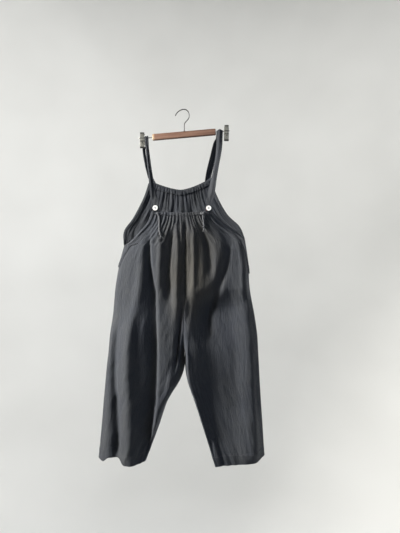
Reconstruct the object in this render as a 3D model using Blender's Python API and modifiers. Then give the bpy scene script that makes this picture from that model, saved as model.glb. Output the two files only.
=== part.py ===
"""Loose linen overalls hanging by their straps from a small wooden clip hanger.

Metres, +Z up.  The viewer stands at -Y and sees the front.  The origin is the
inner top of the steel hook, where a nail or a rail would carry the hanger.
Left and right are the viewer's left (-X) and right (+X).
"""
import math

import bmesh
import bpy
import numpy as np
from mathutils import Vector

# Cloth and seams
CLOTH = 0.0015          # wall of one layer of linen
SEAM_GAP = 0.0003       # space left between touching pieces
CENTRE_GAP = 0.0007     # half the space at the centre seams
CROTCH_GAP = 0.0016     # more of it where four panels meet at the crotch
BINDING_GAP = 0.0010    # space under the armhole bindings
EDGE_GAP = 0.0009       # space under an edge that crosses the cloth at a slant
STRAP_WALL = 0.0024     # strap, sewn double
STRAP_LIE = 0.0479      # depth of the strap's middle where it lies on the bib
CORD = 0.0045           # diameter of the drawstring

# Hanger
BAR_CENTRE = Vector((-0.0055, 0.0, -0.0955))
BAR_TILT = math.radians(4.95)
BAR_SIZE = (0.246, 0.012, 0.025)
BAR_EDGE = 0.003
ROD_RADIUS = 0.002
ROD_LENGTH = 0.352
HOOK_WIRE = 0.0035
HOOK_DEPTH = 0.008
CLIP_WIDTH = 0.018
CLIP_SHEET = 0.0012
CLIP_BARREL_RADIUS = 0.005
CLIP_BARREL_LENGTH = 0.015
CLIP_PAD = (0.018, 0.0026, 0.010)
CLIP_PAD_HEIGHT = -0.0330   # middle of the pads, from the rod
CLIP_SHAPE = (              # side view of a plate: how far it leans out, and its height
    (0.0042, 0.0165), (0.0012, 0.0080), (0.0, 0.0030), (0.0, -0.0080),
    (-0.0004, -0.0200), (-0.0022, -0.0360),
)
CLIP_PLACES = {"left": -0.1610, "right": 0.1640}   # along the rod from its middle
STRAP_PLACES = {"left": -0.1448, "right": 0.1380}

# Buttons
BUTTON_RADIUS = 0.0095
BUTTON_DEPTH = 0.003
BUTTON_DISH = 0.0008
BUTTON_PLACES = {"left": (-0.1110, -0.385), "right": (0.0885, -0.386)}

# Cloth edges.  Each row is one level: x, y, z.
ARMHOLE_FRONT_LEFT = (
    (-0.123, -0.040, -0.392),
    (-0.140, -0.034, -0.436),
    (-0.172, -0.025, -0.473),
    (-0.210, -0.008, -0.509),
)
ARMHOLE_FRONT_RIGHT = (
    (0.100, -0.040, -0.395),
    (0.128, -0.035, -0.427),
    (0.164, -0.024, -0.453),
    (0.202, -0.006, -0.476),
)
ARMHOLE_BACK_LEFT = (
    (-0.141, 0.022, -0.277),
    (-0.165, 0.027, -0.341),
    (-0.205, 0.030, -0.412),
    (-0.241, 0.027, -0.466),
)
ARMHOLE_BACK_RIGHT = (
    (0.101, 0.022, -0.257),
    (0.117, 0.027, -0.320),
    (0.156, 0.030, -0.400),
    (0.203, 0.029, -0.452),
)
SIDE_LEFT = (
    (-0.238, 0.010, -0.525),
    (-0.256, 0.010, -0.595),
    (-0.271, 0.010, -0.690),
    (-0.279, 0.010, -0.785),
    (-0.290, 0.010, -0.860),
    (-0.294, 0.010, -0.900),
    (-0.297, 0.010, -0.935),
    (-0.303, 0.010, -0.985),
    (-0.308, 0.010, -1.040),
    (-0.315, 0.010, -1.120),
    (-0.323, 0.010, -1.220),
    (-0.333, 0.010, -1.334),
)
SIDE_RIGHT = (
    (0.230, 0.015, -0.498),
    (0.243, 0.018, -0.585),
    (0.249, 0.020, -0.690),
    (0.266, 0.020, -0.785),
    (0.277, 0.020, -0.860),
    (0.280, 0.021, -0.900),
    (0.282, 0.022, -0.935),
    (0.285, 0.024, -0.985),
    (0.288, 0.026, -1.040),
    (0.293, 0.029, -1.120),
    (0.300, 0.032, -1.220),
    (0.307, 0.035, -1.334),
)
CENTRE_FRONT = (
    (-0.008, -0.052, -0.404),
    (-0.006, -0.055, -0.440),
    (-0.004, -0.056, -0.474),
    (-0.002, -0.054, -0.506),
    (-0.001, -0.050, -0.535),
    (0.000, -0.046, -0.598),
    (0.000, -0.048, -0.692),
    (-0.003, -0.056, -0.787),
    (-0.005, -0.056, -0.862),
    (-0.005, -0.040, -0.905),
    (-0.003, 0.005, -0.935),
)
CENTRE_BACK = (
    (-0.020, 0.028, -0.309),
    (-0.015, 0.031, -0.365),
    (-0.010, 0.033, -0.425),
    (-0.007, 0.034, -0.480),
    (-0.004, 0.034, -0.533),
    (-0.003, 0.034, -0.598),
    (-0.003, 0.034, -0.692),
    (-0.003, 0.036, -0.787),
    (-0.003, 0.037, -0.862),
    (-0.003, 0.031, -0.905),
    (-0.003, 0.005, -0.935),
)
INSEAM_LEFT = (
    (-0.007, 0.008, -0.985),
    (-0.021, 0.010, -1.040),
    (-0.069, 0.010, -1.120),
    (-0.104, 0.010, -1.220),
    (-0.147, 0.012, -1.334),
)
INSEAM_RIGHT = (
    (0.004, 0.008, -0.985),
    (0.008, 0.012, -1.040),
    (0.038, 0.014, -1.120),
    (0.072, 0.016, -1.220),
    (0.109, 0.018, -1.334),
)
# One row for each level of a panel, from the neckline to the hem:
# fullness of the front, fullness of the back, share of leg, roundness of the side
LEVELS = (
    (0.000, 0.000, 0.00, 0.00),
    (0.002, 0.001, 0.00, 0.10),
    (0.004, 0.002, 0.00, 0.25),
    (0.006, 0.003, 0.00, 0.45),
    (0.008, 0.004, 0.00, 0.70),
    (0.010, 0.005, 0.00, 0.90),
    (0.012, 0.006, 0.00, 1.00),
    (0.015, 0.007, 0.05, 1.00),
    (0.024, 0.010, 0.18, 1.00),
    (0.027, 0.011, 0.34, 1.00),
    (0.028, 0.012, 0.50, 1.00),
    (0.029, 0.013, 0.68, 1.00),
    (0.030, 0.013, 0.84, 1.00),
    (0.031, 0.013, 0.95, 1.00),
    (0.033, 0.014, 1.00, 1.00),
    (0.035, 0.014, 1.00, 1.00),
)
UNDERARM_LEVEL = 4
CROTCH_LEVEL = 10
HEM_LEVEL = 15
CASING_LEVEL = 0.34     # the casing is a third of the first level deep
SCOOP_LEVEL = 3.0       # the necklines' scoop straightens out by this level
SCOOP = 1.5             # its strength: 1 is a plain V
PUFF = 0.7              # below 1 the fullness is spread wide, with steep sides
CROTCH_REACH = 2.0      # levels above and below the crotch that its gap reaches
SEAT_LEVEL = 8          # below it the middle of the body turns in to the inseams
TURN_IN = (0.14, 0.45)  # share of the width that turns in, at the crotch and lower down
TURN_IN_LEVELS = 3.5    # levels over which that share grows

# The largest folds.  Each has a lift at its top and foot (outward is positive),
# a half width at its top and foot, and the places (z, x) that it runs through.
FOLDS = {
    "front_left": (
        (0.010, 0.018, 0.020, 0.024, ((-0.440, -0.130), (-0.590, -0.167), (-0.700, -0.180),
                                      (-0.830, -0.216), (-1.030, -0.240), (-1.360, -0.212))),
        (-0.012, -0.072, 0.014, 0.030, ((-0.800, -0.248), (-0.960, -0.274), (-1.100, -0.279),
                                        (-1.360, -0.284))),
        (-0.020, -0.022, 0.022, 0.026, ((-0.480, -0.114), (-0.700, -0.118), (-1.080, -0.118),
                                        (-1.280, -0.160))),
        (0.010, 0.010, 0.013, 0.013, ((-0.460, -0.032), (-0.600, -0.027), (-0.800, -0.022))),
    ),
    "front_right": (
        (0.012, 0.012, 0.013, 0.013, ((-0.480, 0.030), (-0.600, 0.034), (-0.720, 0.034))),
        (0.014, 0.020, 0.020, 0.022, ((-0.440, 0.110), (-0.560, 0.128), (-0.620, 0.110),
                                      (-0.740, 0.050))),
        (-0.020, -0.028, 0.016, 0.024, ((-0.500, 0.180), (-0.570, 0.160), (-0.640, 0.125),
                                        (-0.720, 0.080), (-0.900, 0.068), (-1.060, 0.076),
                                        (-1.200, 0.110))),
        (0.010, 0.010, 0.028, 0.030, ((-0.820, 0.185), (-1.000, 0.192), (-1.360, 0.195))),
    ),
    "back_left": (
        (-0.012, -0.016, 0.026, 0.030, ((-0.420, -0.090), (-0.700, -0.120), (-1.360, -0.200))),
        (0.006, 0.010, 0.024, 0.026, ((-0.600, -0.190), (-0.900, -0.220), (-1.360, -0.265))),
    ),
    "back_right": (
        (-0.012, -0.016, 0.026, 0.030, ((-0.400, 0.060), (-0.760, 0.110), (-1.360, 0.190))),
        (0.006, 0.010, 0.024, 0.026, ((-0.620, 0.180), (-0.900, 0.215), (-1.360, 0.250))),
    ),
}
FOLD_FADE = 0.070       # length over which a fold grows at each end
SEAM_FADE = 0.10        # share of the width over which folds flatten to a seam

STEP = 0.01             # step along a panel used to find its direction
FACE_SHARE = 0.6        # how far the outward direction turns to the front or the back

PANEL_COLUMNS = 13
PANEL_ROWS = (0.0, 0.17, CASING_LEVEL, 0.8, 1.3, 1.9, 2.5, 3.0, 3.4, 3.7, 4.0, 4.18, 4.7, 5.3, 6.0,
              6.7, 7.4, 8.1, 8.7, 9.3, 10.0, 10.5, 11.1, 11.8, 12.6, 13.4, 14.2, 15.0)

# Straps.  Each row: x, y, z of the middle, the width there, and the turn in
# degrees about the upright (0 is flat to the front).  The rows run from the
# back seam up to the rod, and from the rod down to the end under the button.
STRAP_BACK_LEFT = (
    (-0.1285, 0.0235, -0.2765, 0.020, -4.0),
    (-0.1400, 0.0225, -0.2500, 0.019, 30.0),
    (-0.1500, 0.0205, -0.2190, 0.015, 50.0),
    (-0.1580, 0.0190, -0.1810, 0.013, 55.0),
    (-0.1625, 0.0185, -0.1480, 0.012, 40.0),
    (-0.1580, 0.0165, -0.1300, 0.012, 15.0),
    (-0.1505, 0.0090, -0.1180, 0.012, 0.0),
)
STRAP_FRONT_LEFT = (
    (-0.1480, -0.0075, -0.1230, 0.012, 0.0),
    (-0.1465, -0.0110, -0.1460, 0.012, 20.0),
    (-0.1420, -0.0170, -0.1860, 0.014, 20.0),
    (-0.1365, -0.0240, -0.2260, 0.015, 20.0),
    (-0.1305, -0.0310, -0.2650, 0.018, 30.0),
    (-0.1220, -0.0390, -0.3160, 0.024, 25.0),
    (-0.1150, -0.0440, -0.3540, 0.027, 5.0),
    (-0.1115, -STRAP_LIE, -0.3800, 0.027, 0.0),
    (-0.1100, -STRAP_LIE, -0.3975, 0.027, 0.0),
)
STRAP_BACK_RIGHT = (
    (0.0900, 0.0225, -0.2525, 0.022, 2.0),
    (0.0935, 0.0210, -0.2290, 0.024, 20.0),
    (0.1060, 0.0160, -0.1780, 0.025, 30.0),
    (0.1190, 0.0110, -0.1290, 0.025, 20.0),
    (0.1290, 0.0080, -0.1060, 0.022, 4.0),
)
STRAP_FRONT_RIGHT = (
    (0.1310, -0.0075, -0.1040, 0.024, 0.0),
    (0.1295, -0.0130, -0.1430, 0.024, -20.0),
    (0.1245, -0.0200, -0.1870, 0.024, -38.0),
    (0.1170, -0.0270, -0.2270, 0.024, -40.0),
    (0.1100, -0.0330, -0.2660, 0.024, -38.0),
    (0.1020, -0.0390, -0.3090, 0.026, -25.0),
    (0.0940, -0.0440, -0.3510, 0.027, -5.0),
    (0.0895, -STRAP_LIE, -0.3800, 0.027, 0.0),
    (0.0875, -STRAP_LIE, -0.3985, 0.027, 0.0),
)
STRAP_STEPS = 3         # rows made between two rows of the tables
STRAP_ARC_ROWS = 7      # rows of the arc over the rod
STRAP_ROD_REACH = 0.03  # rows this far below the rod still lean with it
STRAP_ROD_WIDTHS = {"left": 0.012, "right": 0.024}

# Pocket openings, as (share of the width, level) at the top and the foot
POCKETS = {"left": ((0.27, 3.35), (0.045, 5.15)), "right": ((0.25, 3.75), (0.045, 5.45))}
POCKET_EDGE = 0.009
POCKET_STEPS = 7

# Free ends of the drawstring, from the casing down to the knot
CORD_ROUTES = {
    "left": (
        (-0.1040, -0.0483, -0.4025),
        (-0.1030, -0.0497, -0.4040),
        (-0.1005, -0.0497, -0.4090),
        (-0.0975, -0.0497, -0.4180),
        (-0.0958, -0.0498, -0.4300),
        (-0.0955, -0.0502, -0.4430),
        (-0.0963, -0.0512, -0.4560),
        (-0.0955, -0.0526, -0.4690),
        (-0.0930, -0.0540, -0.4790),
    ),
    "right": (
        (0.0665, -0.0502, -0.4035),
        (0.0667, -0.0517, -0.4055),
        (0.0670, -0.0520, -0.4110),
        (0.0675, -0.0527, -0.4220),
        (0.0690, -0.0535, -0.4340),
        (0.0700, -0.0542, -0.4440),
        (0.0703, -0.0548, -0.4520),
    ),
}
CORD_POINTS = 14
KNOT_SIZE = (0.0045, 0.0042, 0.0055)    # half its width, depth and height

# Hook, from the seat in the bar up and round to its tip: x, z
HOOK_ROUTE = (
    (-0.0045, -0.0905), (-0.0045, -0.0800), (-0.0045, -0.0700), (-0.0042, -0.0600),
    (-0.0030, -0.0520), (0.0020, -0.0450), (0.0085, -0.0380), (0.0133, -0.0300),
    (0.0150, -0.0210), (0.0130, -0.0110), (0.0075, -0.0030), (0.0000, 0.00175),
    (-0.0100, 0.0020), (-0.0200, -0.0015), (-0.0290, -0.0075), (-0.0355, -0.0150),
    (-0.0390, -0.0225),
)
HOOK_POINTS = 56


def clear_scene():
    for old in list(bpy.data.objects):
        bpy.data.objects.remove(old, do_unlink=True)


def new_collection(name):
    group = bpy.data.collections.new(name)
    bpy.context.scene.collection.children.link(group)
    return group


def principled(name, colour, roughness, metallic=0.0):
    material = bpy.data.materials.new(name)
    material.use_nodes = True
    shader = material.node_tree.nodes["Principled BSDF"]
    shader.inputs["Base Color"].default_value = (*colour, 1.0)
    shader.inputs["Roughness"].default_value = roughness
    shader.inputs["Metallic"].default_value = metallic
    return material


def smooth_read(rows, place):
    """Value of a table at a place between its rows, on a smooth curve through them."""
    rows = np.asarray(rows, dtype=float)
    last = len(rows) - 1
    place = min(max(place, 0.0), float(last))
    low = min(int(place), last - 1)
    part = place - low
    before = rows[max(low - 1, 0)]
    start = rows[low]
    end = rows[low + 1]
    after = rows[min(low + 2, last)]
    leave = (end - before) / (1.0 if low == 0 else 2.0)
    arrive = (after - start) / (1.0 if low + 2 > last else 2.0)
    square = part * part
    cube = square * part
    return ((2 * cube - 3 * square + 1) * start + (cube - 2 * square + part) * leave
            + (3 * square - 2 * cube) * end + (cube - square) * arrive)


def ease(value):
    value = min(max(value, 0.0), 1.0)
    return value * value * (3.0 - 2.0 * value)


def mix(low, high, share):
    return low + (high - low) * share


def outer_edge(panel, level):
    """Point of the armhole above the underarm, and of the side seam below it."""
    armholes = {"front_left": ARMHOLE_FRONT_LEFT, "front_right": ARMHOLE_FRONT_RIGHT,
                "back_left": ARMHOLE_BACK_LEFT, "back_right": ARMHOLE_BACK_RIGHT}
    side = SIDE_LEFT if panel.endswith("left") else SIDE_RIGHT
    if level < UNDERARM_LEVEL:
        return smooth_read(armholes[panel] + side[:1], level)
    return smooth_read(side, level - UNDERARM_LEVEL)


def inner_edge(panel, level):
    """Point of the centre seam above the crotch, and of the inseam below it."""
    centre = CENTRE_FRONT if panel.startswith("front") else CENTRE_BACK
    inseam = INSEAM_LEFT if panel.endswith("left") else INSEAM_RIGHT
    if level < CROTCH_LEVEL:
        return smooth_read(centre, level)
    return smooth_read(centre[-1:] + inseam, level - CROTCH_LEVEL)


def fold_lift(panel, x, z):
    """How far the folds of a panel move the cloth outward at x, z."""
    total = 0.0
    for lift_top, lift_foot, wide_top, wide_foot, places in FOLDS[panel]:
        top = places[0][0]
        foot = places[-1][0]
        if not foot < z < top:
            continue
        levels = [place[0] for place in places]
        rank = 0
        while z < levels[rank + 1]:
            rank += 1
        along = rank + (levels[rank] - z) / (levels[rank] - levels[rank + 1])
        middle = smooth_read(places, along)[1]
        share = (top - z) / (top - foot)
        fade = ease((top - z) / FOLD_FADE) * ease((z - foot) / FOLD_FADE)
        wide = mix(wide_top, wide_foot, share)
        total += mix(lift_top, lift_foot, share) * fade * math.exp(-((x - middle) / wide) ** 2)
    return total


def panel_point(panel, across, level):
    """Point of a panel: across runs 0 to 1 from its outer to its inner edge."""
    outer = outer_edge(panel, level)
    inner = inner_edge(panel, level)
    front_full, back_full, leg, rounded = smooth_read(LEVELS, level)
    front = panel.startswith("front")
    outward = -1.0 if front else 1.0
    quarter = 0.5 * math.pi * across
    torso_x = mix(across, 1.0 - math.cos(quarter), rounded)
    leg_x = 0.5 * (1.0 - math.cos(2.0 * quarter))
    share = mix(torso_x, leg_x, leg)
    rise = mix(across, math.sin(quarter), rounded)
    full = front_full if front else back_full
    x = mix(outer[0], inner[0], share)
    middle = inner_edge(panel, min(level, SEAT_LEVEL))[1]
    y = mix(outer[1], middle, rise) + outward * full * math.sin(2.0 * quarter) ** PUFF
    band = mix(*TURN_IN, ease((level - CROTCH_LEVEL + 0.5) / TURN_IN_LEVELS))
    y += (inner[1] - middle) * max(1.0 - (1.0 - across) / band, 0.0) ** 1.6
    scoop = mix(SCOOP, 1.0, ease(level / SCOOP_LEVEL))
    z = mix(outer[2], inner[2], 1.0 - (1.0 - share) ** scoop)
    flat = ease(share / SEAM_FADE) * ease((1.0 - share) / SEAM_FADE)
    y += outward * flat * fold_lift(panel, x, z)
    # each panel stops just short of its neighbours
    side_sign = -1.0 if panel.endswith("left") else 1.0
    y += outward * 0.5 * SEAM_GAP
    x += side_sign * CENTRE_GAP * across
    crotch = ease(1.0 - abs(level - CROTCH_LEVEL) / CROTCH_REACH) * across ** 4
    x += side_sign * CROTCH_GAP * crotch
    return Vector((x, y, z))


def panel_normal(panel, across, level):
    """Outward direction of a panel at a point."""
    outer = panel_point(panel, max(across - STEP, 0.0), level)
    inner = panel_point(panel, min(across + STEP, 1.0), level)
    upper = panel_point(panel, across, max(level - STEP, 0.0))
    lower = panel_point(panel, across, min(level + STEP, float(HEM_LEVEL)))
    normal = (inner - outer).cross(lower - upper).normalized()
    outward = -1.0 if panel.startswith("front") else 1.0
    side_sign = -1.0 if panel.endswith("left") else 1.0
    toward = Vector((side_sign * (1.0 - across), outward * FACE_SHARE, 0.0))
    return normal if normal.dot(toward) > 0.0 else -normal


def placed_grid(grid, outward):
    """Mesh of a grid of points, with its faces turned outward."""
    rows = len(grid)
    columns = len(grid[0])
    mesh = bmesh.new()
    bmesh.ops.create_grid(mesh, x_segments=columns - 1, y_segments=rows - 1, size=1.0)
    places = []
    for corner in mesh.verts:
        column = round((corner.co.x + 1.0) * 0.5 * (columns - 1))
        row = round((corner.co.y + 1.0) * 0.5 * (rows - 1))
        places.append((row, column))
        corner.co = grid[row][column]
    mesh.normal_update()
    facing = sum((face.normal.dot(outward(face.calc_center_median())) * face.calc_area()
                  for face in mesh.faces), 0.0)
    if facing < 0.0:
        bmesh.ops.reverse_faces(mesh, faces=mesh.faces)
        mesh.normal_update()
    return mesh, places


def sheet_object(name, grid, group, material, wall, offset, outward):
    """Sheet through a grid of points, thickened by a Solidify modifier."""
    mesh, _ = placed_grid(grid, outward)
    bmesh.ops.remove_doubles(mesh, verts=mesh.verts, dist=0.00001)
    data = bpy.data.meshes.new(name)
    mesh.to_mesh(data)
    mesh.free()
    data.shade_smooth()
    data.materials.append(material)
    made = bpy.data.objects.new(name, data)
    group.objects.link(made)
    solidify = made.modifiers.new("Wall", "SOLIDIFY")
    solidify.thickness = wall
    solidify.offset = offset
    return made


def facing_out(panel):
    outward = Vector((0.0, -1.0 if panel.startswith("front") else 1.0, 0.0))
    return lambda point: outward


def shape_panels():
    """Points of each panel, and the cloth's own direction outward at each."""
    shapes = {}
    for panel in FOLDS:
        grid = [[panel_point(panel, column / PANEL_COLUMNS, row)
                 for column in range(PANEL_COLUMNS + 1)] for row in PANEL_ROWS]
        mesh, places = placed_grid(grid, facing_out(panel))
        normals = [[None] * (PANEL_COLUMNS + 1) for row in PANEL_ROWS]
        for corner, (row, column) in zip(mesh.verts, places):
            normals[row][column] = corner.normal.copy()
        mesh.free()
        shapes[panel] = (grid, normals)
    return shapes


def moved_out(shapes, panel, column, level, distance):
    """Grid point of a panel, moved out from it."""
    grid, normals = shapes[panel]
    row = PANEL_ROWS.index(level)
    return grid[row][column] + normals[row][column] * distance


def make_panels(shapes, group, cloth):
    for panel in shapes:
        sheet_object(panel, shapes[panel][0], group, cloth, CLOTH, 1.0, facing_out(panel))


def make_casing(shapes, name, face, inside, group, cloth):
    """Drawstring casing along a neckline, a layer on the two panels below it."""
    rows = [row for row in PANEL_ROWS if row <= CASING_LEVEL]
    away = -SEAM_GAP if inside else CLOTH + SEAM_GAP
    grid = []
    for row in rows:
        halves = [[moved_out(shapes, face + side, column, row, away)
                   for column in range(PANEL_COLUMNS + 1)] for side in ("_left", "_right")]
        middle = (halves[0][-1] + halves[1][-1]) * 0.5
        grid.append(halves[0][:-1] + [middle] + halves[1][-2::-1])
    sign = -1.0 if face == "front" else 1.0
    outward = Vector((0.0, -sign if inside else sign, 0.0))
    sheet_object(name, grid, group, cloth, CLOTH, 1.0, lambda point: outward)


def make_binding(shapes, side, group, cloth):
    """Binding round an armhole, a layer on the edges of the front and the back."""
    rows = [row for row in PANEL_ROWS if CASING_LEVEL < row < UNDERARM_LEVEL]
    below = PANEL_ROWS[PANEL_ROWS.index(UNDERARM_LEVEL) + 1]

    def edge(face, column, level):
        return moved_out(shapes, face + "_" + side, column, level, CLOTH + BINDING_GAP)

    def corner(level):
        """Point outside the side seam, clear of both panels' corners."""
        row = PANEL_ROWS.index(level)
        spot, front = (part[row][0] for part in shapes["front_" + side])
        back = shapes["back_" + side][1][row][0]
        return spot + (front + back) * ((CLOTH + BINDING_GAP) / (1.0 + front.dot(back)))

    underarm = corner(UNDERARM_LEVEL)
    seam = corner(below)
    grid = [[edge("front", 0, row), edge("front", 1, row)] for row in rows]
    grid.append([underarm, edge("front", 1, UNDERARM_LEVEL)])
    grid.append([underarm, edge("front", 1, below)])
    grid.append([underarm, seam])
    grid.append([underarm, edge("back", 1, below)])
    grid.append([underarm, edge("back", 1, UNDERARM_LEVEL)])
    grid += [[edge("back", 0, row), edge("back", 1, row)] for row in reversed(rows)]
    sheet_object("armhole_binding_" + side, grid, group, cloth, CLOTH, 1.0,
                 lambda point: Vector((point.x, 0.0, 0.0)))


def make_pocket_edge(side, group, cloth):
    """Turned edge of a slanted pocket opening, a strip on the front panel."""
    panel = "front_" + side
    top, foot = POCKETS[side]
    grid = []
    for step in range(POCKET_STEPS + 1):
        share = step / POCKET_STEPS
        across = mix(top[0], foot[0], share)
        level = mix(top[1], foot[1], share)
        here = panel_point(panel, across, level)
        beside = panel_point(panel, across + STEP, level)
        width_step = STEP * POCKET_EDGE / (beside - here).length
        line = []
        for part in (0.0, 0.5, 1.0):
            spot = across + part * width_step
            line.append(panel_point(panel, spot, level)
                        + panel_normal(panel, spot, level) * (CLOTH + EDGE_GAP))
        grid.append(line)
    sheet_object("pocket_edge_" + side, grid, group, cloth, CLOTH, 1.0,
                 lambda point: Vector((0.0, -1.0, 0.0)))


def along_rod(place):
    """Point on the axis of the rod, place metres from the middle of the bar."""
    direction = Vector((math.cos(BAR_TILT), 0.0, math.sin(BAR_TILT)))
    return BAR_CENTRE + direction * place


def strap_rows(back, front, side):
    """Rows of a whole strap: the back table, an arc over the rod, the front table."""
    rod = along_rod(STRAP_PLACES[side])
    reach = ROD_RADIUS + SEAM_GAP + 0.5 * STRAP_WALL
    width = STRAP_ROD_WIDTHS[side]
    arc = []
    for step in range(STRAP_ARC_ROWS):
        angle = math.radians(mix(-15.0, 195.0, step / (STRAP_ARC_ROWS - 1)))
        arc.append((rod.x, reach * math.cos(angle), rod.z + reach * math.sin(angle), width, 0.0))
    rows = []
    for table in (back, front):
        part = []
        count = (len(table) - 1) * STRAP_STEPS
        for step in range(count + 1):
            part.append(tuple(smooth_read(table, step / STRAP_STEPS)))
        rows.append(part)
    return rows[0] + arc + rows[1]


def make_strap(side, back, front, group, cloth):
    grid = []
    for x, y, z, width, turn in strap_rows(back, front, side):
        angle = math.radians(turn)
        half = Vector((math.cos(angle), math.sin(angle), 0.0)) * (0.5 * width)
        centre = Vector((x, y, z))
        near_rod = abs(y) < ROD_RADIUS + STRAP_WALL + SEAM_GAP and z > BAR_CENTRE.z - STRAP_ROD_REACH
        if near_rod and turn == 0.0:
            half.z = half.x * math.tan(BAR_TILT)
        grid.append([centre - half, centre + half])
    sheet_object("strap_" + side, grid, group, cloth, STRAP_WALL, 0.0,
                 lambda point: Vector((0.0, -1.0, 0.0)))


def poly_tube(name, points, diameter, group, material):
    data = bpy.data.curves.new(name, "CURVE")
    data.dimensions = "3D"
    data.bevel_depth = 0.5 * diameter
    data.bevel_resolution = 2
    data.use_fill_caps = True
    spline = data.splines.new("POLY")
    spline.points.add(len(points) - 1)
    for point, place in zip(spline.points, points):
        point.co = (*place, 1.0)
    data.materials.append(material)
    made = bpy.data.objects.new(name, data)
    group.objects.link(made)
    return made


def even_points(route, count):
    """Points at even steps along a smooth curve through a route."""
    fine = [Vector(smooth_read(route, (len(route) - 1) * step / 400)) for step in range(401)]
    reach = [0.0]
    for before, after in zip(fine, fine[1:]):
        reach.append(reach[-1] + (after - before).length)
    points = []
    for step in range(count):
        wanted = reach[-1] * step / (count - 1)
        rank = min(int(np.searchsorted(reach, wanted)), len(fine) - 1)
        points.append(fine[rank])
    return points


def make_drawstring(side, group, material):
    points = even_points(CORD_ROUTES[side], CORD_POINTS)
    poly_tube("drawstring_" + side, points, CORD, group, material)
    hang = (points[-1] - points[-2]).normalized()
    mesh = bmesh.new()
    bmesh.ops.create_uvsphere(mesh, u_segments=12, v_segments=8, radius=1.0)
    bmesh.ops.scale(mesh, vec=KNOT_SIZE, verts=mesh.verts)
    data = bpy.data.meshes.new("drawstring_knot_" + side)
    mesh.to_mesh(data)
    mesh.free()
    data.shade_smooth()
    data.materials.append(material)
    knot = bpy.data.objects.new("drawstring_knot_" + side, data)
    knot.location = points[-1] + hang * (KNOT_SIZE[2] + SEAM_GAP)
    group.objects.link(knot)


def turned_object(name, profile, steps, group, material):
    """Profile of (radius, height) points turned round the local Z axis."""
    data = bpy.data.meshes.new(name)
    data.from_pydata([(radius, 0.0, height) for radius, height in profile],
                     [(index, index + 1) for index in range(len(profile) - 1)], [])
    data.materials.append(material)
    made = bpy.data.objects.new(name, data)
    group.objects.link(made)
    screw = made.modifiers.new("Turn", "SCREW")
    screw.steps = steps
    screw.render_steps = steps
    screw.use_merge_vertices = True
    screw.merge_threshold = 0.00001
    return made


def make_button(side, group, material):
    x, z = BUTTON_PLACES[side]
    radius = BUTTON_RADIUS
    depth = BUTTON_DEPTH
    profile = (
        (0.0, depth - BUTTON_DISH), (0.55 * radius, depth - BUTTON_DISH), (0.72 * radius, depth),
        (0.92 * radius, depth), (radius, 0.6 * depth), (0.97 * radius, 0.25 * depth),
        (0.85 * radius, 0.0), (0.0, 0.0),
    )
    button = turned_object("button_" + side, profile, 24, group, material)
    lie = STRAP_LIE + 0.5 * STRAP_WALL + 2.0 * SEAM_GAP
    button.location = (x, -lie, z)
    button.rotation_euler = (0.5 * math.pi, 0.0, 0.0)


def cube_object(name, size, place, group, material, edge=0.0):
    mesh = bmesh.new()
    bmesh.ops.create_cube(mesh, size=1.0)
    bmesh.ops.scale(mesh, vec=size, verts=mesh.verts)
    data = bpy.data.meshes.new(name)
    mesh.to_mesh(data)
    mesh.free()
    data.materials.append(material)
    made = bpy.data.objects.new(name, data)
    made.location = place
    group.objects.link(made)
    if edge > 0.0:
        bevel = made.modifiers.new("Edge", "BEVEL")
        bevel.width = edge
        bevel.segments = 3
    return made


def cylinder_cutter(name, radius, length, place, direction, cutters):
    mesh = bmesh.new()
    bmesh.ops.create_cone(mesh, cap_ends=True, segments=16, radius1=radius, radius2=radius,
                          depth=length)
    data = bpy.data.meshes.new(name)
    mesh.to_mesh(data)
    mesh.free()
    made = bpy.data.objects.new(name, data)
    made.location = place
    made.rotation_mode = "QUATERNION"
    made.rotation_quaternion = Vector((0.0, 0.0, 1.0)).rotation_difference(direction)
    made.hide_render = True
    made.display_type = "WIRE"
    cutters.objects.link(made)
    return made


def make_bar(group, cutters, wood):
    bar = cube_object("hanger_bar", BAR_SIZE, BAR_CENTRE, group, wood, BAR_EDGE)
    bar.rotation_euler = (0.0, -BAR_TILT, 0.0)
    direction = Vector((math.cos(BAR_TILT), 0.0, math.sin(BAR_TILT)))
    bore = cylinder_cutter("rod_bore", ROD_RADIUS + SEAM_GAP, BAR_SIZE[0] + 0.02, BAR_CENTRE,
                           direction, cutters)
    top = BAR_CENTRE.z + 0.5 * BAR_SIZE[2]
    seat = cylinder_cutter("hook_bore", 0.5 * HOOK_WIRE + SEAM_GAP, 2.0 * HOOK_DEPTH,
                           Vector((HOOK_ROUTE[0][0], 0.0, top)), Vector((0.0, 0.0, 1.0)), cutters)
    for cutter in (bore, seat):
        cut = bar.modifiers.new("Cut " + cutter.name, "BOOLEAN")
        cut.operation = "DIFFERENCE"
        cut.object = cutter


def make_rod(group, steel):
    ends = [along_rod(-0.5 * ROD_LENGTH), along_rod(0.5 * ROD_LENGTH)]
    poly_tube("hanger_rod", [tuple(end) for end in ends], 2.0 * ROD_RADIUS, group, steel)


def make_hook(group, steel):
    route = [(x, 0.0, z) for x, z in HOOK_ROUTE]
    poly_tube("hanger_hook", even_points(route, HOOK_POINTS), HOOK_WIRE, group, steel)


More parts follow.
